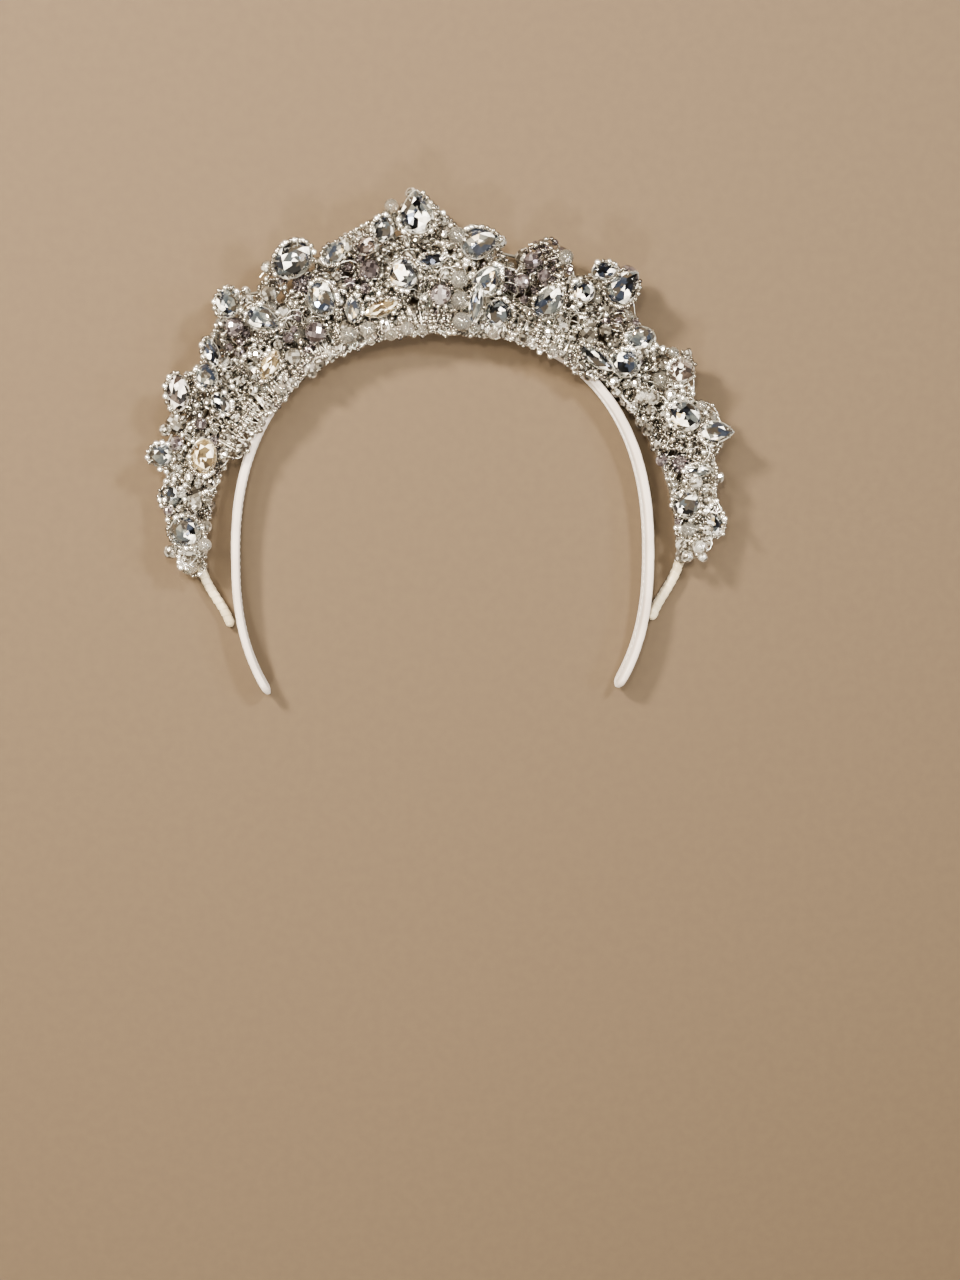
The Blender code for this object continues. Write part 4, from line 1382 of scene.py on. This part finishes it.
@dataclass
class BeadField:
    """The field between the stones: large beads on stems, packed beads and loops of seed beads."""

    lines: CrestLines
    stones: BVHTree
    bead: float = 8.2 * MM
    bead_shares: tuple[float, ...] = (1.0, 0.84, 0.94, 0.78, 0.90)
    side_space: float = 0.9 * MM
    stem_space: float = 0.2 * MM
    stem: float = 0.9 * MM
    base_wire: float = 1.2 * MM
    rail_past: float = 2.5
    first_gap: float = 0.8 * MM
    stagger: float = 2.8 * MM
    band_width: float = 11.0 * MM
    plain_tone: float = 0.56
    plain_smoke: float = 0.10
    tone_scatter: float = 0.12
    facet_spread: float = 0.50
    seed_spread: float = 0.42
    hem: Pair = (-61.0, 38.0)
    hem_sizes: Pair = (2.6 * MM, 4.4 * MM)
    hem_heights: Pair = (-4.9 * MM, -2.4 * MM)
    hem_gaps: Pair = (0.4 * MM, 1.0 * MM)
    hem_space: float = 0.2 * MM
    hem_glass: float = 0.35
    hem_tone: float = -0.12
    hem_foot: Pair = (4.5 * MM, 8.0 * MM)
    bare_loops: int = 7
    seed_bead: float = 1.95 * MM
    loop_wire: float = 0.34 * MM
    loop_form: LoopForm = LoopForm()
    stalk: float = 0.45 * MM
    stalk_sag: float = 0.8 * MM
    stalk_drop: float = 1.5 * MM
    rosette_share: float = 0.45
    rosette_beads: int = 26
    rosette_core: float = 0.62
    rosette_sink: float = 0.42
    rosette_fit: float = 0.92
    glass_share: float = 0.16
    smoky_tone: float = 0.15
    loops: int = 360
    loop_bearings: Pair = (-89.0, 88.0)
    loop_heights: Pair = (0.0, 44.0 * MM)
    loop_margin: float = 3.0 * MM
    drops: int = 170
    drop_bearings: Pair = (-90.0, 88.0)
    drop_over: Pair = (-62.0, 38.0)
    drop_tone: float = -0.16
    halo_tone: float = 0.1
    medium_tries: int = 14000
    medium_sizes: Pair = (2.8 * MM, 5.6 * MM)
    medium_bearings: Pair = (-90.5, 90.0)
    medium_heights: Pair = (-0.5 * MM, 44.0 * MM)
    medium_lifts: Pair = (3.5 * MM, 9.5 * MM)
    medium_glass: float = 0.12
    accent_lift: float = 6.0 * MM
    accent_foot_lift: float = 10.5 * MM
    accent_top: float = 15.0 * MM
    accent_step: float = 0.4 * MM
    accent_nesting: float = 0.9
    accent_tone: float = 0.10
    photo_scale: float = 2.855
    photo_middle: Pair = (443.0, 562.0)
    seed: int = 5
    beads: dict[tuple[BeadKind, str], Carrier] = field(default_factory=dict)
    wires: dict[str, Carrier] = field(default_factory=dict)
    taken: Spheres = field(default_factory=lambda: Spheres(9.0 * MM))

    def tone(self, bearing: float, height: float, chance: random.Random) -> Pair:
        """Return the tone of a bead at a place and how smoky the glass there is."""
        tone, smoky = self.plain_tone, self.plain_smoke
        here = self.lines.point(bearing, height)
        for cluster in CLUSTERS:
            there = self.lines.point(cluster.bearing, cluster.rise * self.lines.crest_rise)
            share = 1.0 - smooth_step((here - there).length, 0.6 * cluster.reach, cluster.reach)
            tone = mix(tone, cluster.tone, share)
            smoky = mix(smoky, cluster.smoky, share)
        return tone + chance.uniform(-self.tone_scatter, self.tone_scatter), smoky

    def stem_bearings(self) -> list[float]:
        """Return the bearings of the bead stems."""
        half_length = math.radians(self.lines.end_bearing) * self.lines.rail_radius(0.0)
        count = max(2, round(half_length / (self.bead + self.side_space)))
        step = self.lines.end_bearing / count
        right = [(k + 0.5) * step for k in range(count)]
        return [-bearing for bearing in reversed(right)] + right

    def bead_heights(self, bearing: float, stagger: float) -> list[float]:
        """Return how far the middle of each bead on a stem is above the rail."""
        radius = self.bead / 2.0
        first = self.base_wire / 2.0 + self.first_gap + radius
        pitch = self.bead + self.stem_space
        room = self.lines.height(bearing) - radius - first
        if room - stagger > pitch:
            first += stagger
            room -= stagger
        gaps = max(0, int(room / pitch))
        if gaps == 0:
            return [first]
        return [first + room * k / gaps for k in range(gaps + 1)]

    def lift(self) -> float:
        """Return how far the stems are in front of the frame's middle plane."""
        lean = math.cos(math.radians(self.lines.lean))
        return self.lines.frame_bar / 2.0 + (self.lines.clearance + self.bead / 2.0) / lean

    def set_bead(self, kind: BeadKind, bearing: float, point: Vector, size: float, tone: float) -> None:
        """Set one bead, in the piece of the side that its bearing is on."""
        self.beads.setdefault((kind, side_of(bearing)), Carrier()).add_point(point, size, tone)

    def set_wire(self, bearing: float, path: Sequence[Vector], width: float) -> None:
        """Lay one wire, in the piece of the side that its bearing is on."""
        self.wires.setdefault(side_of(bearing), Carrier()).add_path(path, width, 0.5)

    def set_stalk(self, bearing: float, height: float, point: Vector) -> None:
        """Wire one bead to the nearest stem.

        Args:
            bearing: The bead's bearing.
            height: Its height above the rail.
            point: Its middle.
        """
        stem = min(self.stem_bearings(), key=lambda other: abs(other - bearing))
        foot = self.lines.point(stem, max(0.0, height - self.stalk_drop), self.lift())
        bend = foot.lerp(point, 0.6) - UP * self.stalk_sag
        self.set_wire(bearing, [foot, bend, point], self.stalk)

    def set_rosette(self, bearing: float, point: Vector, size: float, tone: float, smoky: bool) -> None:
        """Set a small cut bead with seed beads sewn all over it.

        Args:
            bearing: Its bearing.
            point: Its middle.
            size: Its diameter over the seed beads.
            tone: Its tone.
            smoky: Whether it is smoky glass.
        """
        kind = SMOKY if smoky else SEED
        self.set_bead(SMOKY if smoky else CUT, bearing, point, size * self.rosette_core, tone)
        out = size * 0.5 - self.seed_bead * self.rosette_sink
        for k in range(self.rosette_beads):
            z = 1.0 - (2.0 * k + 1.0) / self.rosette_beads
            around = k * math.pi * (3.0 - math.sqrt(5.0))
            flat = math.sqrt(1.0 - z * z)
            way = Vector((flat * math.cos(around), flat * math.sin(around), z))
            self.set_bead(kind, bearing, point + way * out, self.seed_bead * self.rosette_fit, tone)

    def build_large_beads(self) -> None:
        """Set a bead or a rosette wherever the strings' solids have one, with the stems and rails."""
        chance = random.Random(self.seed)
        bearings = self.stem_bearings()
        half = len(bearings) // 2
        for part in (bearings[:half], bearings[half:]):
            for index, bearing in enumerate(part):
                heights = self.bead_heights(bearing, self.stagger * (index % 2))
                for row, height in enumerate(heights):
                    size = self.bead * self.bead_shares[(row + 2 * index) % len(self.bead_shares)]
                    tone, smoke = self.tone(bearing, height, chance)
                    point = self.lines.point(bearing, height, self.lift())
                    self.taken.add(point, size / 2.0)
                    smoky = chance.random() < smoke
                    draw = chance.random()
                    if draw < self.rosette_share:
                        self.set_rosette(bearing, point, size, tone, smoky)
                    elif smoky:
                        self.set_bead(SMOKY, bearing, point, size, tone + self.smoky_tone)
                    elif draw < self.rosette_share + self.glass_share:
                        self.set_bead(GLASS, bearing, point, size, 0.5)
                    else:
                        self.set_bead(CUT, bearing, point, size, tone)
                path = [self.lines.point(bearing, mix(0.0, heights[-1], k / 4.0), self.lift())
                        for k in range(5)]
                self.set_wire(bearing, path, self.stem)
            low, high = min(part) - self.rail_past, max(part) + self.rail_past
            rail = [self.lines.point(mix(low, high, k / 30.0), 0.0, self.lift()) for k in range(31)]
            self.set_wire(part[0], rail, self.base_wire)

    def fits(self, point: Vector, radius: float) -> bool:
        """Say whether a bead fits at a point without cutting or hiding a stone or another bead."""
        if not self.taken.free(point, radius):
            return False
        _, _, _, distance = self.stones.find_nearest(point)
        if distance < radius:
            return False
        return self.stones.ray_cast(point, -UP)[0] is None

    def build_accents(self) -> None:
        """Set the beads that stand out in the photograph on top of what is there."""
        chance = random.Random(self.seed + 3)
        slope = math.tan(math.radians(self.lines.lean))
        for accent in ACCENTS:
            x = (accent.photo_x - self.photo_middle[0]) / self.photo_scale * MM
            y = (self.photo_middle[1] - accent.photo_y) / self.photo_scale * MM
            bearing = math.degrees(math.atan2(x, y))
            height = math.hypot(x, y) - self.lines.rail_radius(bearing)
            radius = accent.size / 2.0
            start = self.lines.at(math.hypot(x, y), bearing, self.lines.frame_level + height * slope)
            lift = self.accent_lift
            if height <= 2.0 * MM:
                lift = self.accent_foot_lift + radius - height * slope
            room = radius * self.accent_nesting
            while lift < self.accent_top and not self.taken.free(start + UP * lift, room):
                lift += self.accent_step
            point = start + UP * lift
            self.taken.add(point, room)
            tone, _ = self.tone(bearing, height, chance)
            self.set_bead(accent.kind, bearing, point, accent.size, tone + self.accent_tone)
            self.set_stalk(bearing, height, point)

    def build_medium_beads(self) -> None:
        """Pack medium beads, each on its own stalk, into the room between the stones and large beads."""
        chance = random.Random(self.seed + 4)
        for _ in range(self.medium_tries):
            bearing = chance.uniform(*self.medium_bearings)
            height = chance.uniform(*self.medium_heights)
            tone, smoke = self.tone(bearing, height, chance)
            size = chance.uniform(*self.medium_sizes) * mix(1.0, 0.85, smoke)
            lift = chance.uniform(*self.medium_lifts)
            if height > self.lines.height(bearing) - 0.4 * size:
                continue
            point = self.lines.point(bearing, height, lift)
            if not self.fits(point, size / 2.0):
                continue
            self.taken.add(point, size / 2.0)
            draw = chance.random()
            kind = CUT
            if draw < smoke:
                kind = SMOKY
            elif draw < smoke + self.medium_glass:
                kind = GLASS
            self.set_bead(kind, bearing, point, size, tone)
            self.set_stalk(bearing, height, point)

    def build_hem_beads(self) -> None:
        """Hang a row of small beads over the headband's front edge, where the crest hides it."""
        chance = random.Random(self.seed + 6)
        bearing = self.hem[0]
        while bearing < self.hem[1]:
            size = chance.uniform(*self.hem_sizes)
            height = chance.uniform(*self.hem_heights)
            point = self.lines.point(bearing, height)
            point.z = self.band_width + size / 2.0 + chance.uniform(*self.hem_gaps)
            if self.fits(point, size / 2.0):
                self.taken.add(point, size / 2.0)
                tone, _ = self.tone(bearing, 2.0 * MM, chance)
                kind = GLASS if chance.random() < self.hem_glass else CUT
                self.set_bead(kind, bearing, point, size, tone + self.hem_tone)
                foot = self.lines.point(bearing, *self.hem_foot)
                self.set_wire(bearing, [foot, foot.lerp(point, 0.5) + UP * MM, point], self.stalk)
            bearing += math.degrees((size + self.hem_space) / self.lines.rail_radius(bearing))

    def build_bare_loops(self) -> None:
        """Curl bare loops of wire over the bunches of small beads."""
        chance = random.Random(self.seed + 7)
        for cluster in CLUSTERS:
            for _ in range(self.bare_loops):
                height = cluster.rise * self.lines.crest_rise + chance.uniform(-0.7, 0.4) * cluster.reach
                spread = math.degrees(0.7 * cluster.reach / self.lines.rail_radius(cluster.bearing))
                bearing = cluster.bearing + chance.uniform(-spread, spread)
                if 0.0 < height < self.lines.height(bearing) - 4.0 * MM:
                    self.set_wire(bearing, self.loop_path(bearing, height, chance), self.loop_wire)

    def build_beads(self, fronts: Object) -> None:
        """Make the pieces of beads and of stem wires.

        Args:
            fronts: The stones' fronts, which no wire crosses.
        """
        claimed: set[str] = set()
        ordered = sorted(self.beads.items(), key=lambda item: (item[0][0].name, item[0][1]))
        for (kind, side), carrier in ordered:
            finish, faceted, sides, rings = kind.value
            name = f"{kind.name.lower()}_beads_{side}"
            values = {"Bead Sides": sides, "Bead Rings": rings,
                      "Tone Spread": self.facet_spread if faceted else 0.0, "Seed": self.seed}
            piece = bead_shape(name, finish, faceted).run(carrier.object(), values, name)
            node = f"bead_string_{side}"
            place_piece(piece, [] if node in claimed else [node])
            claimed.add(node)
        for side, carrier in self.wires.items():
            draw_wires(f"stem_wires_{side}", carrier, 6, 2, fronts)

    def loop_path(self, bearing: float, height: float, chance: random.Random) -> list[Vector]:
        """Return one loop of fine wire that rises from the frame and comes back to it.

        Args:
            bearing: The bearing of its foot.
            height: The height of its foot above the rail.
            chance: Random numbers for its form.

        Returns:
            The loop's points.
        """
        form = self.loop_form
        reach = chance.uniform(*form.reach)
        half_width = chance.uniform(*form.half_width)
        top = chance.uniform(*form.top)
        heading = chance.uniform(*form.heading)
        per_degree = self.lines.rail_radius(bearing) * math.pi / 180.0
        path = []
        for k in range(form.steps + 1):
            turn = 2.0 * math.pi * k / form.steps
            along = reach * (1.0 - math.cos(turn)) / 2.0
            across = half_width * math.sin(turn)
            outward = along * math.cos(heading) - across * math.sin(heading)
            sideways = along * math.sin(heading) + across * math.cos(heading)
            lift = form.foot + top * math.sin(turn / 2.0) ** 0.6
            new_bearing = bearing + sideways / per_degree
            limit = self.lines.height(new_bearing) - 0.6 * self.seed_bead
            new_height = min(limit, max(0.6 * MM, height + outward))
            path.append(self.lines.point(new_bearing, new_height, lift))
        return path

    def drop_path(self, bearing: float, chance: random.Random) -> list[Vector]:
        """Return one short strand that leaves the crest, hangs over the headband's front edge and returns.

        Args:
            bearing: The bearing of its middle.
            chance: Random numbers for its form.

        Returns:
            The strand's points.
        """
        form = OVER_BAND if self.drop_over[0] < bearing < self.drop_over[1] else BESIDE_BAND
        fall = chance.uniform(*form.fall)
        front = chance.uniform(*form.front)
        width = chance.uniform(*form.width)
        path = []
        for k in range(form.steps + 1):
            turn = math.pi * k / form.steps
            out = math.sin(turn)
            height = mix(form.top, -fall, out)
            lift = mix(front - 4.0 * MM, front + 0.6 * MM, out ** 0.35)
            path.append(self.lines.point(bearing - width * math.cos(turn), height, lift))
        return path

    def build_loops(self, stones: Object, fronts: Object,
                    halos: Sequence[tuple[float, list[Vector]]]) -> None:
        """Fill the field with loops of fine wire and seed beads.

        Args:
            stones: The joined stones, which no seed bead cuts into.
            fronts: Their fronts, which no seed bead hides.
            halos: The strands along the stones' edges, each with its bearing.
        """
        chance = random.Random(self.seed + 1)
        sides = {"left": Carrier(), "right": Carrier()}
        made = 0
        while made < self.loops:
            bearing = chance.uniform(*self.loop_bearings)
            height = chance.uniform(*self.loop_heights)
            if height > self.lines.height(bearing) - self.loop_margin:
                continue
            made += 1
            tone, _ = self.tone(bearing, height, chance)
            path = self.loop_path(bearing, height, chance)
            sides[side_of(bearing)].add_path(path, self.seed_bead, tone)
        for k in range(self.drops):
            bearing = mix(*self.drop_bearings, (k + chance.random()) / self.drops)
            tone, _ = self.tone(bearing, 2.0 * MM, chance)
            path = self.drop_path(bearing, chance)
            sides[side_of(bearing)].add_path(path, self.seed_bead, tone + self.drop_tone)
        for bearing, path in halos:
            tone, _ = self.tone(bearing, 20.0 * MM, chance)
            sides[side_of(bearing)].add_path(path, self.seed_bead, tone + self.halo_tone)
        centres = self.taken.carrier().object()
        finish, _, bead_sides, bead_rings = SEED.value
        for side, paths in sides.items():
            values = {"Spacing": self.seed_bead * 1.05, "Steps": 4, "Bead Sides": bead_sides,
                      "Bead Rings": bead_rings, "Tone Spread": self.seed_spread, "Seed": self.seed,
                      "Stones": stones, "Fronts": fronts, "Beads": centres, "Clear By": 0.34 * self.seed_bead}
            shape = threaded_shape(f"seed_beads_{side}", finish)
            place_piece(shape.run(paths.object(), values, f"loop_beads_{side}"))
            wires = Carrier(paths.points, paths.edges, [self.loop_wire] * len(paths.points), paths.tones)
            draw_wires(f"loop_wires_{side}", wires, 4, 3, fronts)
        bpy.data.objects.remove(centres)


@dataclass
class SatinBand:
    """The padded headband under its satin, with the cloth's soft puckers and its sewn seam inside."""

    lines: CrestLines
    width: float = 11.0 * MM
    crown_thickness: float = 4.0 * MM
    tip_thickness: float = 2.8 * MM
    tip_round: float = 0.5
    tip_width_share: float = 0.12
    tip_thickness_share: float = 0.30
    stations: int = 260
    crowding: float = 0.44
    sides: int = 28
    squareness: float = 0.42
    seam: float = 0.30 * MM
    pucker: float = 0.12 * MM
    pucker_waves: int = 7
    pucker_rates: Pair = (300.0, 2600.0)
    pucker_drifts: Pair = (-900.0, 900.0)
    stitch_pitch: float = 2.4 * MM
    stitch_length: float = 1.6 * MM
    stitch_width: float = 0.30 * MM
    stitch_slant: float = 0.45
    seed: int = 3

    def crowded(self, share: float) -> float:
        """Move a share of the way from -1 to 1 so that the stations crowd at the tips."""
        return share * (1.0 + self.crowding * (1.0 - share * share))

    def section(self) -> list[tuple[float, float, float]]:
        """Return the section's points: shares of half its thickness and width, and how deep the seam is."""
        points = []
        lip = 2.0 * self.seam / self.width
        for k in range(self.sides):
            turn = 2.0 * math.pi * k / self.sides
            wide, tall = math.cos(turn), math.sin(turn)
            across = boxed(wide, self.squareness)
            if 2 * k == self.sides:
                points += [(across, lip, 0.0), (across, 0.0, self.seam), (across, -lip, 0.0)]
            else:
                points.append((across, boxed(tall, self.squareness), 0.0))
        return points

    def build(self) -> None:
        """Sweep the band along its outline with fine puckers, round off its tips and sew its seam."""
        chance = random.Random(self.seed)
        waves = [(chance.uniform(*self.pucker_rates), chance.uniform(0.0, FULL_TURN),
                  chance.uniform(*self.pucker_drifts)) for _ in range(self.pucker_waves)]
        end = self.lines.tip_bearing()
        bearings = [self.crowded(2.0 * k / self.stations - 1.0) * end for k in range(self.stations + 1)]
        outer = [self.lines.at(self.lines.band_radius(b), b) for b in bearings]
        lengths = lengths_along(outer)
        section = self.section()
        rings = []
        seam_path = []
        for bearing, point, length, along in zip(bearings, outer, lengths, headings(outer)):
            outward = outward_of(along)
            full = mix(self.crown_thickness, self.tip_thickness, abs(bearing) / end)
            to_tip = min(length, lengths[-1] - length)
            half_width = self.width / 2.0 * rounded(to_tip, self.tip_round * self.width, self.tip_width_share)
            half_thickness = full / 2.0 * rounded(to_tip, self.tip_thickness, self.tip_thickness_share)
            middle = point - outward * full / 2.0 + UP * self.width / 2.0
            ring = []
            for across_share, up_share, depth in section:
                up = up_share * half_width
                wave = sum(math.sin(length * f + p + up * q) for f, p, q in waves) / len(waves)
                across = across_share * half_thickness + min(depth, half_thickness / 2.0)
                across -= self.pucker * (1.0 + wave) * max(0.0, across_share)
                ring.append(middle + outward * across + UP * up)
            rings.append(ring)
            if to_tip > self.width:
                seam_path.append(middle - outward * half_thickness)
        crown = rings[len(rings) // 2]
        skin = cloth_skin(rings, lengths, lengths_along(crown + crown[:1]))
        obj = make_object("satin_headband", skin.mesh("satin_headband", 60.0), [SATIN])
        place_piece(obj, ["headband"])
        path = Carrier()
        path.add_path(seam_path, self.stitch_width, 0.5)
        values = {"Pitch": self.stitch_pitch, "Length": self.stitch_length, "Width": self.stitch_width,
                  "Slant": self.stitch_slant, "Sides": 6}
        stitches = stitch_shape("seam_stitches", THREAD).run(path.object(), values, "seam_stitches")
        place_piece(stitches)


@dataclass
class RibbonStrips:
    """The two strips from the crest's ends to the headband, wound with cream satin ribbon."""

    lines: CrestLines
    thickness: float = 3.4 * MM
    height: float = 4.2 * MM
    rear_step: float = 0.4 * MM
    turn_pitch: float = 2.6 * MM
    overlap: float = 0.22 * MM
    girth: float = 13.0 * MM
    squareness: float = 0.6
    end_share: float = 0.35
    stations: int = 120
    sides: int = 20

    def build(self) -> None:
        """Build both strips."""
        for side in (-1, 1):
            self.build_one(side)

    def build_one(self, side: int) -> None:
        """Build one strip.

        Args:
            side: -1 for the left strip, 1 for the right one.
        """
        gap = math.degrees((self.lines.clearance + self.lines.frame_bar / 2.0)
                           / self.lines.rail_radius(self.lines.end_bearing))
        start = self.lines.end_bearing + gap
        bearings = [mix(start, self.lines.landing_bearing, k / (self.stations - 1))
                    for k in range(self.stations)]
        if side < 0:
            bearings = [-bearing for bearing in reversed(bearings)]
        line = []
        for bearing in bearings:
            reach = self.lines.band_radius(bearing) + self.lines.stand_off(bearing)
            line.append(self.lines.at(reach + 2.0 * self.lines.clearance + self.thickness / 2.0, bearing))
        lengths = lengths_along(line)
        rings = []
        for point, length, along in zip(line, lengths, headings(line)):
            end = rounded(min(length, lengths[-1] - length), self.thickness / 2.0, self.end_share)
            outward = outward_of(along)
            ring = []
            for k in range(self.sides):
                turn = 2.0 * math.pi * k / self.sides
                saw = (length / self.turn_pitch + k / self.sides) % 1.0
                inset = self.overlap * saw
                across = end * (self.thickness / 2.0 - inset) * boxed(math.cos(turn), self.squareness)
                up = end * (self.height / 2.0 - inset) * boxed(math.sin(turn), self.squareness)
                ring.append(point + outward * across + UP * (self.rear_step + self.height / 2.0 + up))
            rings.append(ring)
        around = [k * self.girth / self.sides for k in range(self.sides + 1)]
        skin = cloth_skin(rings, lengths, around, wound=True)
        name = side_of(side)
        obj = make_object(f"ribbon_strip_{name}", skin.mesh("strip", 50.0), [RIBBON])
        place_piece(obj, [f"side_strip_{name}"])


@dataclass(frozen=True)
class Lamp:
    """A square softbox that faces the tiara: its place and side in metres, its power in watts, its colour."""

    name: str
    place: tuple[float, float, float]
    side: float
    power: float
    colour: str


LAMPS = (
    Lamp("sun_lamp", (-0.60, 0.55, 0.70), 0.14, 68.0, "#ffefd8"),
    Lamp("key_softbox", (-0.45, 0.25, 0.85), 0.22, 9.0, "#fff4e4"),
    Lamp("fill_softbox", (0.70, 0.05, 0.60), 0.16, 6.0, "#f4f4fa"),
    Lamp("right_lamp", (0.40, 0.45, 0.80), 0.12, 23.0, "#fff8ec"),
    Lamp("low_lamp", (-0.20, -0.50, 0.75), 0.12, 12.0, "#fff6e6"),
    Lamp("front_lamp", (-0.12, 0.22, 0.82), 0.07, 11.0, "#fff6e6"),
)


@dataclass
class Studio:
    """Floor, lights and camera."""

    lines: CrestLines
    lens: float = 62.0
    distance: float = 0.788
    tilt: float = 9.4
    yaw: float = 6.0
    roll: float = -1.0
    aim: tuple[float, float, float] = (12.5 * MM, -28.4 * MM, 10.0 * MM)
    lit: tuple[float, float, float] = (0.0, 0.02, 0.0)
    floor_half: float = 8.0
    dapple: float = 2.6
    surround_low: float = 0.36
    surround_high: float = 1.35
    backdrop: str = "#6f6151"

    def build_floor(self) -> None:
        """Lay a wide sheet of paper just under the tiara."""
        mesh = bpy.data.meshes.new("floor")
        half = self.floor_half
        corners = [(-half, -half, 0.0), (half, -half, 0.0), (half, half, 0.0), (-half, half, 0.0)]
        mesh.from_pydata(corners, [], [(0, 1, 2, 3)])
        floor = make_object("floor", mesh, [PAPER])

    def build_light(self, lamp: Lamp) -> None:
        """Hang one softbox."""
        data = bpy.data.lights.new(lamp.name, "AREA")
        data.shape = "SQUARE"
        data.size = lamp.side
        data.energy = lamp.power
        data.color = linear(lamp.colour)[:3]
        light = bpy.data.objects.new(lamp.name, data)
        light.location = lamp.place
        light.rotation_euler = (Vector(lamp.place) - Vector(self.lit)).to_track_quat("Z", "Y").to_euler()
        bpy.context.scene.collection.objects.link(light)

    def build_camera(self) -> None:
        """Set the camera over the tiara at the photograph's angle."""
        target = self.lines.middle + Vector(self.aim)
        tilt = math.radians(self.tilt)
        yaw = math.radians(self.yaw)
        back = Vector((-math.sin(yaw) * math.cos(tilt), math.sin(tilt), math.cos(yaw) * math.cos(tilt)))
        data = bpy.data.cameras.new("camera")
        data.lens = self.lens
        camera = bpy.data.objects.new("camera", data)
        camera.location = target + back * self.distance
        side = Vector((1.0, 0.0, 0.0))
        side = (side - back * side.dot(back)).normalized()
        side = Matrix.Rotation(math.radians(self.roll), 3, back) @ side
        over = back.cross(side)
        camera.matrix_world = Matrix((
            (side.x, over.x, back.x, camera.location.x),
            (side.y, over.y, back.y, camera.location.y),
            (side.z, over.z, back.z, camera.location.z),
            (0.0, 0.0, 0.0, 1.0),
        ))
        bpy.context.scene.collection.objects.link(camera)
        bpy.context.scene.camera = camera

    def build_world(self) -> None:
        """Give the studio a soft, slightly warm surround, with a plain backdrop where it is seen itself."""
        world = bpy.data.worlds.new("studio")
        world.use_nodes = True
        tree = world.node_tree
        place = add_node(tree, "ShaderNodeTexCoord")
        dapple = add_node(tree, "ShaderNodeTexNoise", {"Scale": self.dapple, "Detail": 1.0},
                          {"Vector": (place, "Generated")})
        ramp = add_node(tree, "ShaderNodeValToRGB", {"stops": ((0.46, "#8a7d69"), (0.58, "#fff2dc"))},
                        {"Fac": (dapple, "Fac")})
        strength = add_node(tree, "ShaderNodeMapRange", {
            "From Min": 0.48, "From Max": 0.62, "To Min": self.surround_low, "To Max": self.surround_high,
        }, {"Value": (dapple, "Fac")})
        glow = tree.nodes["Background"]
        set_node(tree, glow, {}, {"Color": (ramp, "Color"), "Strength": (strength, "Result")})
        plain = add_node(tree, "ShaderNodeBackground", {"Color": linear(self.backdrop)})
        ray = add_node(tree, "ShaderNodeLightPath")
        both = add_node(tree, "ShaderNodeMixShader", links={
            0: (ray, "Is Camera Ray"), 1: (glow, "Background"), 2: (plain, "Background")})
        set_node(tree, tree.nodes["World Output"], {}, {"Surface": (both, "Shader")})
        bpy.context.scene.world = world

    def build(self) -> None:
        """Build the floor, the lights, the surround and the camera."""
        self.build_camera()
        self.build_floor()
        self.build_world()
        for lamp in LAMPS:
            self.build_light(lamp)


def joined_mesh(name: str, pieces: Sequence[Object]) -> Mesh:
    """Return one mesh with copies of some pieces."""
    joined = bmesh.new()
    for piece in pieces:
        joined.from_mesh(piece.data)
    mesh = bpy.data.meshes.new(name)
    joined.to_mesh(mesh)
    joined.free()
    return mesh


def tree_of(mesh: Mesh) -> BVHTree:
    """Return a search tree of a mesh's faces."""
    return BVHTree.FromPolygons([v.co for v in mesh.vertices], [p.vertices for p in mesh.polygons])


def main() -> None:
    """Build the tiara's looks around its solids."""
    logging.basicConfig(level=logging.INFO, format="%(message)s")
    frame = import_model()
    low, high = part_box("headband")
    lines = CrestLines(Vector(((low.x + high.x) / 2.0, high.y - CrestLines.band_rise, 0.0)))
    Studio(lines).build()
    SatinBand(lines).build()
    RibbonStrips(lines).build()
    stones = CutStones(lines)
    stones.build()
    stone_mesh = joined_mesh("stones", stones.gems)
    beads = BeadField(lines, tree_of(stone_mesh))
    beads.build_large_beads()
    beads.build_accents()
    beads.build_hem_beads()
    beads.build_bare_loops()
    beads.build_medium_beads()
    helper = make_object("stones", stone_mesh, [])
    fronts = make_object("fronts", stones.fronts.mesh("fronts", 30.0), [])
    beads.build_beads(fronts)
    beads.build_loops(helper, fronts, stones.strands)
    bpy.data.objects.remove(helper)
    bpy.data.objects.remove(fronts)
    frame_materials = frame["nodes"]["crest_frame"].data.materials
    frame_materials.clear()
    frame_materials.append(SILVER.material())


if __name__ == "__main__":
    main()
